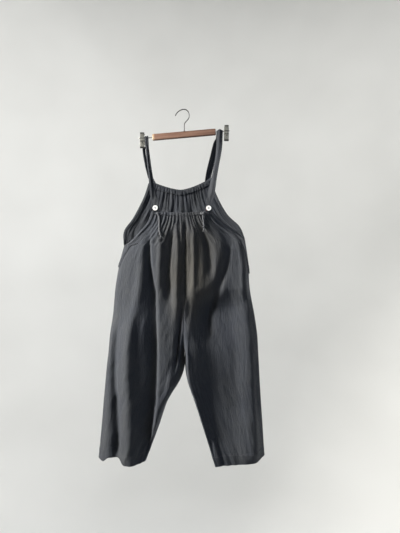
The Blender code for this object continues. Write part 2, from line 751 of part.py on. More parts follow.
def make_clip(side, group, steel, rubber):
    """Spring clip on the rod: a barrel, a front and a back plate, and their pads."""
    place = along_rod(CLIP_PLACES[side])
    half_barrel = 0.5 * CLIP_BARREL_LENGTH
    bore = ROD_RADIUS + SEAM_GAP
    profile = ((bore, half_barrel), (CLIP_BARREL_RADIUS, half_barrel),
               (CLIP_BARREL_RADIUS, -half_barrel), (bore, -half_barrel), (bore, half_barrel))
    barrel = turned_object("clip_barrel_" + side, profile, 20, group, steel)
    barrel.location = place
    barrel.rotation_euler = (0.0, 0.5 * math.pi - BAR_TILT, 0.0)
    middle = CLIP_BARREL_RADIUS + SEAM_GAP + 0.5 * CLIP_SHEET
    half = 0.5 * CLIP_WIDTH
    for face, sign in (("front", -1.0), ("back", 1.0)):
        grid = [[place + Vector((across, sign * (middle + lean), height))
                 for across in (-half, 0.0, half)] for lean, height in CLIP_SHAPE]
        sheet_object("clip_plate_" + face + "_" + side, grid, group, steel, CLIP_SHEET, 0.0,
                     lambda point: Vector((0.0, sign, 0.0)))
        jaw = middle + CLIP_SHAPE[-1][0]
        reach = jaw - 0.5 * CLIP_SHEET - SEAM_GAP - 0.5 * CLIP_PAD[1]
        centre = place + Vector((0.0, sign * reach, CLIP_PAD_HEIGHT))
        cube_object("clip_pad_" + face + "_" + side, CLIP_PAD, centre, group, rubber)


def main():
    clear_scene()
    parts = new_collection("overalls_on_hanger")
    cutters = new_collection("cutters")
    linen = principled("Charcoal linen", (0.045, 0.048, 0.054), 0.85)
    tape = principled("Drawstring", (0.055, 0.057, 0.060), 0.85)
    shell = principled("White button", (0.80, 0.79, 0.76), 0.30)
    wood = principled("Hanger wood", (0.33, 0.17, 0.10), 0.45)
    steel = principled("Hanger steel", (0.42, 0.42, 0.40), 0.35, 1.0)
    rubber = principled("Clip pad", (0.03, 0.03, 0.03), 0.70)
    shapes = shape_panels()
    make_panels(shapes, parts, linen)
    make_casing(shapes, "front_casing", "front", False, parts, linen)
    make_casing(shapes, "back_casing", "back", True, parts, linen)
    for side in ("left", "right"):
        make_binding(shapes, side, parts, linen)
        make_pocket_edge(side, parts, linen)
        make_button(side, parts, shell)
        make_drawstring(side, parts, tape)
        make_clip(side, parts, steel, rubber)
    make_strap("left", STRAP_BACK_LEFT, STRAP_FRONT_LEFT, parts, linen)
    make_strap("right", STRAP_BACK_RIGHT, STRAP_FRONT_RIGHT, parts, linen)
    make_bar(parts, cutters, wood)
    make_rod(parts, steel)
    make_hook(parts, steel)


main()
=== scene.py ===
# %% [markdown]
# # Loose linen overalls on a wooden clip hanger
#
# The overalls hang by their two straps from the thin steel rod of a small
# hanger.  They are four linen panels, sewn at the centre, the sides and the
# inseams, with a gathered neckline front and back.  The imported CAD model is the
# frame: every piece below is made in its place, in metres, with +Z up and the
# viewer at -Y.  Left and right are the viewer's.

# %% Load the frame
import math

import bmesh
import bpy
import numpy as np
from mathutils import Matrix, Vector


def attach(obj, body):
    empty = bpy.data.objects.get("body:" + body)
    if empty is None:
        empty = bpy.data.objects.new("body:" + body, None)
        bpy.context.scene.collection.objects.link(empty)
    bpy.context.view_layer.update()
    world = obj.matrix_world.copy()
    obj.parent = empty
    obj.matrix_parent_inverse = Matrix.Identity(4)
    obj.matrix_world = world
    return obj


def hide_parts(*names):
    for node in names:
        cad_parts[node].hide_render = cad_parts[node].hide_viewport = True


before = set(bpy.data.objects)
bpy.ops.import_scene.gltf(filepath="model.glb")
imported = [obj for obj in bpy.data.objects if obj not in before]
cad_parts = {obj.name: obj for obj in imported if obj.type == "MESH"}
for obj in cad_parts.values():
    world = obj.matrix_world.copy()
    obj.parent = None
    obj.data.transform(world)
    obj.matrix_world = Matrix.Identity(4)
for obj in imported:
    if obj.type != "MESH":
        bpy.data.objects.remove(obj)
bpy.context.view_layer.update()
scene = bpy.context.scene
print("frame:", len(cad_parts), "CAD nodes")

# %% [markdown]
# ## The camera
#
# The photograph was taken level, from straight in front, by a camera close
# enough for the hem to look lower where the cloth comes forward.  A lens could
# be matched by eye; here it follows from the distance and the height in view.

# %% Place the camera
VIEW_PLACE = Vector((0.056, -1.55, -0.604))
VIEW_HEIGHT = 2.057         # seen from top to bottom at the depth of the hanger
SENSOR = 36.0

lens = bpy.data.cameras.new("Camera")
lens.sensor_width = SENSOR
lens.lens = SENSOR * -VIEW_PLACE.y / VIEW_HEIGHT
camera = bpy.data.objects.new("Camera", lens)
camera.location = VIEW_PLACE
camera.rotation_euler = (math.radians(90.0), 0.0, 0.0)
scene.collection.objects.link(camera)
scene.camera = camera
print("lens:", round(lens.lens, 2), "mm")

# %% [markdown]
# ## Small helpers
#
# A table of a few points becomes a smooth curve through them, and `ease` turns
# a hard switch into a soft one.  They work on whole arrays, because a panel of
# cloth has tens of thousands of points.  `add_piece` puts a finished shape in
# the scene, on the model's one body.

# %% Curves through tables, soft steps and mixes
MM = 0.001


def smooth_read(rows, place):
    """Values of a table at places between its rows, on smooth curves through them."""
    rows = np.asarray(rows, dtype=float)
    last = len(rows) - 1
    place = np.clip(np.asarray(place, dtype=float), 0.0, last)
    low = np.minimum(place.astype(int), last - 1)
    part = (place - low)[..., None]
    before = rows[np.maximum(low - 1, 0)]
    start = rows[low]
    end = rows[low + 1]
    after = rows[np.minimum(low + 2, last)]
    leave = (end - before) / np.where(low == 0, 1.0, 2.0)[..., None]
    arrive = (after - start) / np.where(low + 2 > last, 1.0, 2.0)[..., None]
    square = part * part
    cube = square * part
    return ((2 * cube - 3 * square + 1) * start + (cube - 2 * square + part) * leave
            + (3 * square - 2 * cube) * end + (cube - square) * arrive)


def ease(value):
    value = np.clip(value, 0.0, 1.0)
    return value * value * (3.0 - 2.0 * value)


def mix(low, high, share):
    return low + (high - low) * share


def unit(vectors):
    return vectors / np.maximum(np.linalg.norm(vectors, axis=-1, keepdims=True), 1e-9)


def reach_along(points):
    """Distance along a row of points, from its start to each of them."""
    steps = np.linalg.norm(np.diff(points, axis=0), axis=1)
    return np.concatenate(([0.0], np.cumsum(steps)))


def read_along(wanted, reach, values):
    """Values at wanted distances along a row whose own distances are reach."""
    return np.stack([np.interp(wanted, reach, values[:, axis]) for axis in range(3)], axis=1)


def add_piece(name, data, material):
    """Object of a mesh or a curve, riding on the body."""
    data.materials.append(material)
    made = bpy.data.objects.new(name, data)
    scene.collection.objects.link(made)
    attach(made, "root")
    return made


print("tables read between rows:", smooth_read(((0.0,), (1.0,), (4.0,)), 1.5))

# %% [markdown]
# Cloth is never even.  `hills` gives smooth random heights, the same on every
# run because each use names its seed.  Stretched far more along the thread than
# across it, such hills look like the creases that washed linen keeps.

# %% Seeded random hills
HILL_TILE = 64              # the hills repeat after this many
HILL_HEIGHT = 1.5           # brings their heights to about -1 to 1


def hills(seed, across, along):
    """Smooth random heights from about -1 to 1, with one hill to each whole number."""
    turn = np.random.default_rng(seed).uniform(0.0, 2.0 * np.pi, (HILL_TILE, HILL_TILE))
    cell_across = np.floor(across).astype(int)
    cell_along = np.floor(along).astype(int)
    part_across = across - cell_across
    part_along = along - cell_along
    total = 0.0
    for right in (0, 1):
        for down in (0, 1):
            angle = turn[(cell_across + right) % HILL_TILE, (cell_along + down) % HILL_TILE]
            slope = (np.cos(angle) * (part_across - right)
                     + np.sin(angle) * (part_along - down))
            weight = (ease(1.0 - np.abs(part_across - right))
                      * ease(1.0 - np.abs(part_along - down)))
            total = total + weight * slope
    return HILL_HEIGHT * total


print("hills:", np.round(hills(1, np.arange(3) + 0.5, np.zeros(3) + 0.5), 2))

# %% [markdown]
# ## Materials
#
# Each finish is a small network of nodes.  `Finish` keeps the making short: it
# adds nodes, links them by name, and holds the Principled shader at the end.

# %% A maker of node materials
class Finish:
    """A material in the making; place is the Object coordinates that it reads."""

    def __init__(self, name, **sockets):
        self.material = bpy.data.materials.new(name)
        self.material.use_nodes = True
        self.tree = self.material.node_tree
        self.shader = self.tree.nodes["Principled BSDF"]
        for socket, value in sockets.items():
            self.shader.inputs[socket.replace("_", " ")].default_value = value
        self.place = self.node("TexCoord").outputs["Object"]

    def node(self, kind, settings=None, **sockets):
        """A new node; its sockets are fed by name, or by number as s0, s1 and so on."""
        made = self.tree.nodes.new("ShaderNode" + kind)
        for setting, value in (settings or {}).items():
            setattr(made, setting, value)
        for socket, value in sockets.items():
            key = int(socket[1:]) if socket[1:].isdigit() else socket.replace("_", " ")
            self.feed(value, made.inputs[key])
        return made

    def feed(self, value, socket):
        if isinstance(value, bpy.types.NodeSocket):
            self.tree.links.new(value, socket)
        else:
            socket.default_value = value

    def to_shader(self, value, socket):
        self.feed(value, self.shader.inputs[socket])

    def mapped(self, source, scale=(1.0, 1.0, 1.0), turn=(0.0, 0.0, 0.0),
               move=(0.0, 0.0, 0.0)):
        """The source's coordinates, stretched, then turned, then moved."""
        made = self.node("Mapping", Vector=source, Scale=scale, Rotation=turn,
                         Location=move)
        return made.outputs[0]

    def noise(self, source, scale, detail=3.0, roughness=0.5):
        made = self.node("TexNoise", Vector=source, Scale=scale, Detail=detail,
                         Roughness=roughness)
        return made.outputs["Fac"]

    def streaks(self, source, stretch, detail=3.0, roughness=0.5):
        """Noise with its own number of hills to a metre along each axis."""
        return self.noise(self.mapped(source, stretch), 1.0, detail, roughness)

    def math(self, operation, first, second=0.0):
        made = self.node("Math", {"operation": operation}, s0=first, s1=second)
        return made.outputs[0]

    def weighted(self, first, first_share, second, second_share):
        return self.math("ADD", self.math("MULTIPLY", first, first_share),
                         self.math("MULTIPLY", second, second_share))

    def ramp(self, value, stops):
        """Colour by value: stops are (place, colour)."""
        made = self.node("ValToRGB", Fac=value)
        elements = made.color_ramp.elements
        while len(elements) < len(stops):
            elements.new(0.5)
        for element, (place, colour) in zip(elements, stops):
            element.position = place
            element.color = (*colour, 1.0)
        return made.outputs["Color"]

    def blend(self, share, first, second, how="MIX"):
        made = self.node("Mix", {"data_type": "RGBA", "blend_type": how})
        self.feed(share, made.inputs[0])
        self.feed(first, made.inputs[6])
        self.feed(second, made.inputs[7])
        return made.outputs[2]

    def bump(self, height, distance, strength=1.0, before=None):
        made = self.node("Bump", Height=height, Distance=distance, Strength=strength)
        if before is not None:
            self.feed(before, made.inputs["Normal"])
        return made.outputs[0]

    def paint(self, tone, stops, distance=0.0, strength=0.0):
        """Base colour by a tone, raised by the same tone where a distance is given."""
        self.to_shader(self.ramp(tone, stops), "Base Color")
        if distance:
            self.to_shader(self.bump(tone, distance, strength), "Normal")
        return self.material


print("finish maker ready")

# %% [markdown]
# ## The linen
#
# The cloth is charcoal linen, dyed after weaving: matt, a little hairy, bluish
# in the shade and olive in the light, with thick and thin threads both ways.
# The olive light on the middle of the front is painted light: a paler, browner
# patch.
# Its threads follow the cloth, so the pattern reads a UV map in metres named
# Cloth.  An attribute made from how far the cloth stands out paints the ridges
# of folds and creases paler: partly rubbed wear, partly painted highlight.

# %% Linen
THREAD = 0.0008             # distance from thread to thread
WAVE_PERIOD = 2.0 * math.pi / 20.0  # of Blender's band wave at scale 1
# painted light: a paler, browner patch where light falls on the middle of the front
LIT_PATCH_PLACE = (0.020, -0.055, -0.610)   # middle of the browner patch on the front
LIT_PATCH_REACH = (0.15, 0.10, 0.24)
SLANT = 0.45                # turn of the slanting creases, in radians
CREASE_SHARPNESS = 8.0


def lit_patch_share(finish, clouds):
    """Share of the painted warm light: cloudy, most in the middle of the patch."""
    stretch = [1.0 / reach for reach in LIT_PATCH_REACH]
    shift = [-where / reach for where, reach in zip(LIT_PATCH_PLACE, LIT_PATCH_REACH)]
    away = finish.mapped(finish.place, stretch, move=shift)
    ball = finish.node("TexGradient", {"gradient_type": "SPHERICAL"}, Vector=away)
    cloudy = finish.math("MULTIPLY", ball.outputs["Fac"], finish.math("MULTIPLY", clouds, 2.4))
    return finish.math("MINIMUM", cloudy, 0.85)


def make_linen(name, dark, middle, pale, lit_patch_colour):
    finish = Finish(name, Roughness=0.92, Sheen_Weight=0.12, Sheen_Roughness=0.45,
                    Sheen_Tint=(0.80, 0.82, 0.88, 1.0), Specular_IOR_Level=0.22)
    cloth = finish.node("UVMap", {"uv_map": "Cloth"}).outputs[0]
    slubs = finish.weighted(finish.streaks(cloth, (900.0, 28.0, 1.0), 2.0), 0.55,
                            finish.streaks(cloth, (28.0, 900.0, 1.0), 2.0), 0.45)
    clouds = finish.noise(finish.mapped(cloth, (1.0, 0.35, 1.0)), 9.0, 4.0, 0.6)
    tone = finish.weighted(slubs, 0.55, clouds, 0.45)
    colour = finish.ramp(tone, ((0.28, dark), (0.50, middle), (0.72, pale)))
    # painted warm light makes the middle of the front paler and browner, and a
    # painted highlight, partly rubbed wear, makes the ridges paler
    colour = finish.blend(lit_patch_share(finish, clouds), colour, (*lit_patch_colour, 1.0))
    # painted highlight, partly rubbed wear: paler where the cloth stands out
    ridge_wear_and_highlight = finish.node("Attribute", {"attribute_name": "RidgeWearAndHighlight"}).outputs["Fac"]
    wear_and_highlight = finish.math("MULTIPLY", ridge_wear_and_highlight, 0.30)
    finish.to_shader(finish.blend(wear_and_highlight, colour, (*pale, 1.0)), "Base Color")
    # fine creases along the thread and aslant, too small for the mesh
    turned = finish.mapped(cloth, turn=(0.0, 0.0, SLANT))
    sharp = []
    for crumple in (finish.streaks(cloth, (105.0, 13.0, 1.0), 2.0),
                    finish.streaks(turned, (120.0, 26.0, 1.0), 2.0)):
        valley = finish.math("ABSOLUTE", finish.math("SUBTRACT", crumple, 0.5))
        steep = finish.math("MULTIPLY", valley, CREASE_SHARPNESS)
        sharp.append(finish.math("MINIMUM", steep, 1.0))
    creased = finish.bump(finish.weighted(sharp[0], 0.6, sharp[1], 0.4), 0.0011, 0.9)
    threads = []
    for direction in ("X", "Y"):
        wave = finish.node("TexWave", {"bands_direction": direction}, Vector=cloth,
                           Scale=WAVE_PERIOD / THREAD, Distortion=0.6, Detail=1.0)
        threads.append(wave.outputs["Fac"])
    height = finish.weighted(finish.math("MULTIPLY", *threads), 0.6, slubs, 0.9)
    finish.to_shader(finish.bump(height, 0.0005, 0.5, creased), "Normal")
    return finish.material


LINEN = make_linen("Charcoal linen", (0.015, 0.0180, 0.027), (0.026, 0.0285, 0.0335),
                   (0.042, 0.0435, 0.0435), (0.039, 0.036, 0.030))
print("made", LINEN.name)

# %% [markdown]
# Sewing thread is a fine, slightly shiny cord a shade lighter than the cloth.
# The drawstring is a narrow tube of the same linen, rubbed paler by the hands
# that tie it.  Both are small, so they read Object coordinates.

# %% Thread and drawstring
def make_thread():
    finish = Finish("Charcoal thread", Roughness=0.6, Sheen_Weight=0.1)
    twist = finish.noise(finish.place, 2500.0, 1.0)
    stops = ((0.3, (0.030, 0.031, 0.036)), (0.7, (0.075, 0.076, 0.082)))
    return finish.paint(twist, stops, 0.0002, 0.4)


def make_cord_linen():
    finish = Finish("Drawstring linen", Roughness=0.9, Sheen_Weight=0.3, Sheen_Roughness=0.4)
    streak = finish.streaks(finish.place, (900.0, 900.0, 90.0), 3.0)
    weave = finish.noise(finish.place, 1400.0, 2.0)
    stops = ((0.30, (0.034, 0.036, 0.042)), (0.50, (0.058, 0.060, 0.065)),
             (0.70, (0.098, 0.099, 0.098)))
    return finish.paint(finish.weighted(streak, 0.6, weave, 0.4), stops, 0.0006, 0.6)


THREAD_FINISH = make_thread()
CORD_FINISH = make_cord_linen()
print("made", THREAD_FINISH.name, "and", CORD_FINISH.name)

# %% [markdown]
# ## The drawstring's free ends
#
# A drawstring runs in the casing along the neckline.  Its two ends come out
# under the buttons and hang down, each with a knot that stops it slipping back.
# A cord could be simulated, but ends this short just hang, so each is a curve
# through listed points, the same points as in the CAD model.

# %% Drawstring ends
CORD = 0.0068               # diameters of the cord, its knots and its frayed threads
KNOT_WIRE = 0.0042
BUNCH_WIRE = 0.0048
FRAY_WIRE = 0.0011
CORD_ROUTES = {
    "left": (
        (-0.1040, -0.0483, -0.4025),
        (-0.1030, -0.0497, -0.4040),
        (-0.1005, -0.0497, -0.4090),
        (-0.0975, -0.0497, -0.4180),
        (-0.0958, -0.0498, -0.4300),
        (-0.0955, -0.0502, -0.4430),
        (-0.0963, -0.0512, -0.4560),
        (-0.0955, -0.0526, -0.4690),
        (-0.0930, -0.0540, -0.4790),
    ),
    "right": (
        (0.0665, -0.0502, -0.4035),
        (0.0667, -0.0517, -0.4055),
        (0.0670, -0.0520, -0.4110),
        (0.0675, -0.0527, -0.4220),
        (0.0690, -0.0535, -0.4340),
        (0.0700, -0.0542, -0.4440),
        (0.0703, -0.0548, -0.4520),
    ),
}
CORD_POINTS = 24
FINE_STEPS = 400            # points of the fine curve that even steps are read from
KNOT_STEPS = 18
KNOT_TURN = 3.2 * math.pi
KNOT_RADIUS = 0.0032
TAIL_STEPS = 4
FRAYS = 4


def tube(name, points, diameter, material):
    """Round curve through points, closed at both ends."""
    data = bpy.data.curves.new(name, "CURVE")
    data.dimensions = "3D"
    data.bevel_depth = 0.5 * diameter
    data.bevel_resolution = 4
    data.use_fill_caps = True
    spline = data.splines.new("POLY")
    spline.points.add(len(points) - 1)
    for point, place in zip(spline.points, points):
        point.co = (*place, 1.0)
    spline.use_smooth = True
    return add_piece(name, data, material)


def even_points(route, count):
    """Points at even steps along a smooth curve through a route."""
    fine = smooth_read(route, np.linspace(0.0, len(route) - 1, FINE_STEPS))
    reach = reach_along(fine)
    return read_along(np.linspace(0.0, reach[-1], count), reach, fine)


def knot_path(end, hang):
    """Path of a half knot below a cord's end: a turn and a half, then the tail."""
    side = np.cross(hang, (0.0, 1.0, 0.0))
    front = np.cross(side, hang)
    points = []
    for step in range(KNOT_STEPS + 1):
        share = step / KNOT_STEPS
        angle = KNOT_TURN * share
        wide = KNOT_RADIUS * math.sin(math.pi * min(1.0, 0.15 + share))
        drop = 0.0015 + 0.0070 * share + 0.0012 * math.sin(2.0 * angle)
        points.append(end + hang * drop + side * wide * math.cos(angle)
                      + front * wide * math.sin(angle))
    for step in range(1, TAIL_STEPS + 1):
        points.append(points[KNOT_STEPS] + hang * 0.0016 * step - side * 0.0004 * step)
    return points


def bunch_path(place):
    """Path of the small bunch of cord at the casing: that of a knot, made wider."""
    path = knot_path(place + np.array((0.0, -0.001, 0.004)), np.array((0.25, 0.0, -1.0)))
    middle = sum(path) / len(path)
    return [middle + 1.7 * (point - middle) * np.array((1.6, 0.7, 1.0)) for point in path]


def frayed_path(foot, hang, number):
    """Path of a loose thread below a knot; each number leans its own way."""
    spread = np.array((0.0016 * (number - 1.5), -0.0008 * (number % 2), 0.0))
    bend = 0.7 + (0.3 * number) % 0.5
    return [foot + hang * 0.0035 * step + spread * step * bend for step in range(5)]


for side, route in CORD_ROUTES.items():
    points = even_points(route, CORD_POINTS)
    cord = tube("cord_" + side, points, CORD, CORD_FINISH)
    hang = unit(points[-1] - points[-2])
    knot = tube("knot_" + side, knot_path(points[-1], hang), KNOT_WIRE, CORD_FINISH)
    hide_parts("drawstring_" + side)
    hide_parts("drawstring_knot_" + side)
    for number in range(FRAYS):
        path = frayed_path(points[-1] + hang * 0.010, hang, number)
        tube("frayed_end_%d_%s" % (number + 1, side), path, FRAY_WIRE,
                           CORD_FINISH)
    if side == "right":
        tube("bunch_right", bunch_path(points[2]), BUNCH_WIRE, CORD_FINISH)

# %% [markdown]
# ## The form of the panels
#
# Each of the four panels runs from the neckline down to the hem.  The tables
# give its edges, level by level, as points x, y, z in millimetres; the same
# form is in the CAD model.  Between its two edges a panel bulges out from the
# wearer's side, more and more towards the hem.

# %% Edges of the panels
ARMHOLES = {
    "front_left": ((-123, -40, -392), (-140, -34, -436), (-172, -25, -473), (-210, -8, -509)),
    "front_right": ((100, -40, -395), (128, -35, -427), (164, -24, -453), (202, -6, -476)),
    "back_left": ((-141, 22, -268), (-165, 27, -336), (-205, 30, -412), (-241, 27, -466)),
    "back_right": ((101, 22, -257), (118, 27, -320), (161, 30, -398), (210, 29, -447)),
}
SIDES = {
    "left": ((-238, 10, -525), (-256, 10, -595), (-271, 10, -690), (-279, 10, -785),
             (-290, 10, -860), (-294, 10, -900), (-297, 10, -935), (-303, 10, -985),
             (-308, 10, -1040), (-315, 10, -1120), (-323, 10, -1220), (-333, 10, -1334)),
    "right": ((230, 15, -498), (243, 18, -585), (249, 20, -690), (266, 20, -785),
              (277, 20, -860), (280, 21, -900), (282, 22, -935), (285, 24, -985),
              (288, 26, -1040), (293, 29, -1120), (300, 32, -1220), (307, 35, -1334)),
}
CENTRES = {
    "front": ((-8, -52, -404), (-6, -55, -440), (-4, -56, -474), (-2, -54, -506),
              (-1, -50, -535), (0, -46, -598), (0, -48, -692), (-3, -56, -787),
              (-5, -56, -862), (-5, -40, -905), (-3, 5, -935)),
    "back": ((-20, 28, -303), (-15, 31, -365), (-10, 33, -425), (-7, 34, -480),
             (-4, 34, -533), (-3, 34, -598), (-3, 34, -692), (-3, 36, -787),
             (-3, 37, -862), (-3, 31, -905), (-3, 5, -935)),
}
INSEAMS = {
    "left": ((-4, 8, -985), (-21, 10, -1040), (-69, 10, -1120), (-104, 10, -1220),
             (-147, 12, -1334)),
    "right": ((-1, 8, -985), (8, 12, -1040), (38, 14, -1120), (72, 16, -1220),
              (109, 18, -1334)),
}
# For each level: fullness of the front and of the back in millimetres, share of
# leg, roundness of the side
LEVELS = (
    (0, 0, 0.00, 0.00), (2, 1, 0.00, 0.10), (4, 2, 0.00, 0.25), (6, 3, 0.00, 0.45),
    (8, 4, 0.00, 0.70), (10, 5, 0.00, 0.90), (12, 6, 0.00, 1.00), (15, 7, 0.05, 1.00),
    (24, 10, 0.18, 1.00), (27, 11, 0.34, 1.00), (28, 12, 0.50, 1.00), (29, 13, 0.68, 1.00),
    (30, 13, 0.84, 1.00), (31, 13, 0.95, 1.00), (33, 14, 1.00, 1.00), (35, 14, 1.00, 1.00),
)
UNDERARM_LEVEL = 4
CROTCH_LEVEL = 10
HEM_LEVEL = 15
CASING_LEVEL = 0.34
SCOOP_LEVEL = 3.0           # the necklines' scoop straightens out by this level
SCOOP = 1.5
PUFF = 0.7                  # below 1 the fullness is spread wide, with steep sides
CLOTH = 0.0012
SEAM_LAP = 0.0001           # panels overlap this much, so no light comes through a seam
CROTCH_GAP = 0.0016
CROTCH_REACH = 1.2
CROTCH_CURVE = 4
SEAT_LEVEL = 8              # below it the centre of a panel turns in to the inseam
TURN_IN = {"left": (0.08, 0.22), "right": (0.05, 0.11)}    # shares of the width, down the leg
TURN_LEVELS = (0.5, 3.5)    # that starts to widen so far above the crotch, over so many
TURN_CURVE = 1.6
# how far a leg's fullness is held to its inner edge, instead of fading towards it
HELD = {"front_left": 0.0, "front_right": 1.0, "back_left": 0.3, "back_right": 0.3}
HELD_LEVELS = (1.2, 3.2)    # the hold starts so far above the seat and grows over so many
OUTWARD = {"front": -1.0, "back": 1.0}
SIDE_SIGNS = {"left": -1.0, "right": 1.0}
print("levels:", len(LEVELS))

# %% The form between the edges
def edge_points(above, below, level, change):
    """Points of an edge: one table above the level of change, another below it."""
    low = smooth_read(below, level - change)
    return MM * np.where((level < change)[..., None], smooth_read(above, level), low)


def outer_edge(panel, level):
    side = SIDES[panel.split("_")[1]]
    return edge_points(ARMHOLES[panel] + side[:1], side, level, UNDERARM_LEVEL)


def inner_edge(panel, level):
    face, side = panel.split("_")
    below = CENTRES[face][-1:] + INSEAMS[side]
    return edge_points(CENTRES[face], below, level, CROTCH_LEVEL)


def panel_form(panel, across, level):
    """Plain form of a panel, without folds, and the share of its width at each point."""
    face, side = panel.split("_")
    outward = OUTWARD[face]
    outer = outer_edge(panel, level)
    inner = inner_edge(panel, level)
    front_full, back_full, leg, rounded = np.moveaxis(smooth_read(LEVELS, level), -1, 0)
    full = MM * (front_full if face == "front" else back_full)
    quarter = 0.5 * np.pi * across
    # sideways and down: the body is rounded at its side, a leg at both its edges
    torso_x = mix(across, 1.0 - np.cos(quarter), rounded)
    leg_x = 0.5 * (1.0 - np.cos(2.0 * quarter))
    share = mix(torso_x, leg_x, leg)
    x = mix(outer[..., 0], inner[..., 0], share)
    scoop = mix(SCOOP, 1.0, ease(level / SCOOP_LEVEL))
    z = mix(outer[..., 2], inner[..., 2], 1.0 - (1.0 - share) ** scoop)
    # out from the wearer: the bulge of the fullness
    middle = inner_edge(panel, np.minimum(level, SEAT_LEVEL))[..., 1]
    y = mix(outer[..., 1], middle, mix(across, np.sin(quarter), rounded))
    held = HELD[panel] * ease((level - SEAT_LEVEL + HELD_LEVELS[0]) / HELD_LEVELS[1])
    puff = np.abs(np.sin(2.0 * quarter)) ** PUFF
    y = y + outward * full * mix(puff, 1.0, held * ease(2.0 * across - 1.0))
    # and back in again, to the inseam
    middle = middle + outward * full * held
    widened = ease((level - CROTCH_LEVEL + TURN_LEVELS[0]) / TURN_LEVELS[1])
    band = mix(*TURN_IN[side], widened)
    turned = np.clip(1.0 - (1.0 - across) / band, 0.0, 1.0) ** TURN_CURVE
    y = y + (inner[..., 1] - middle) * turned - outward * 0.5 * SEAM_LAP
    crotch = ease(1.0 - np.abs(level - CROTCH_LEVEL) / CROTCH_REACH) * across ** CROTCH_CURVE
    x = x + SIDE_SIGNS[side] * (CROTCH_GAP * crotch - 0.5 * SEAM_LAP * across)
    return np.stack((x, y, z), axis=-1), share


test_form, _ = panel_form("front_left", np.array([0.0, 1.0]), np.array([0.0, 0.0]))
print("neckline corner and centre:", np.round(test_form, 3).tolist())

# %% [markdown]
# ## The folds
#
# Full cloth that hangs from a gathered edge falls into folds.  The large ones
# carry the look of the garment, so they are listed one by one.  Each row says how
# far a fold stands out at its top and foot, how wide it is to its left and to
# its right there, and where it runs.  Unequal sides give the steep flank of a
# fold that leans over.  Lifts and widths are in millimetres.

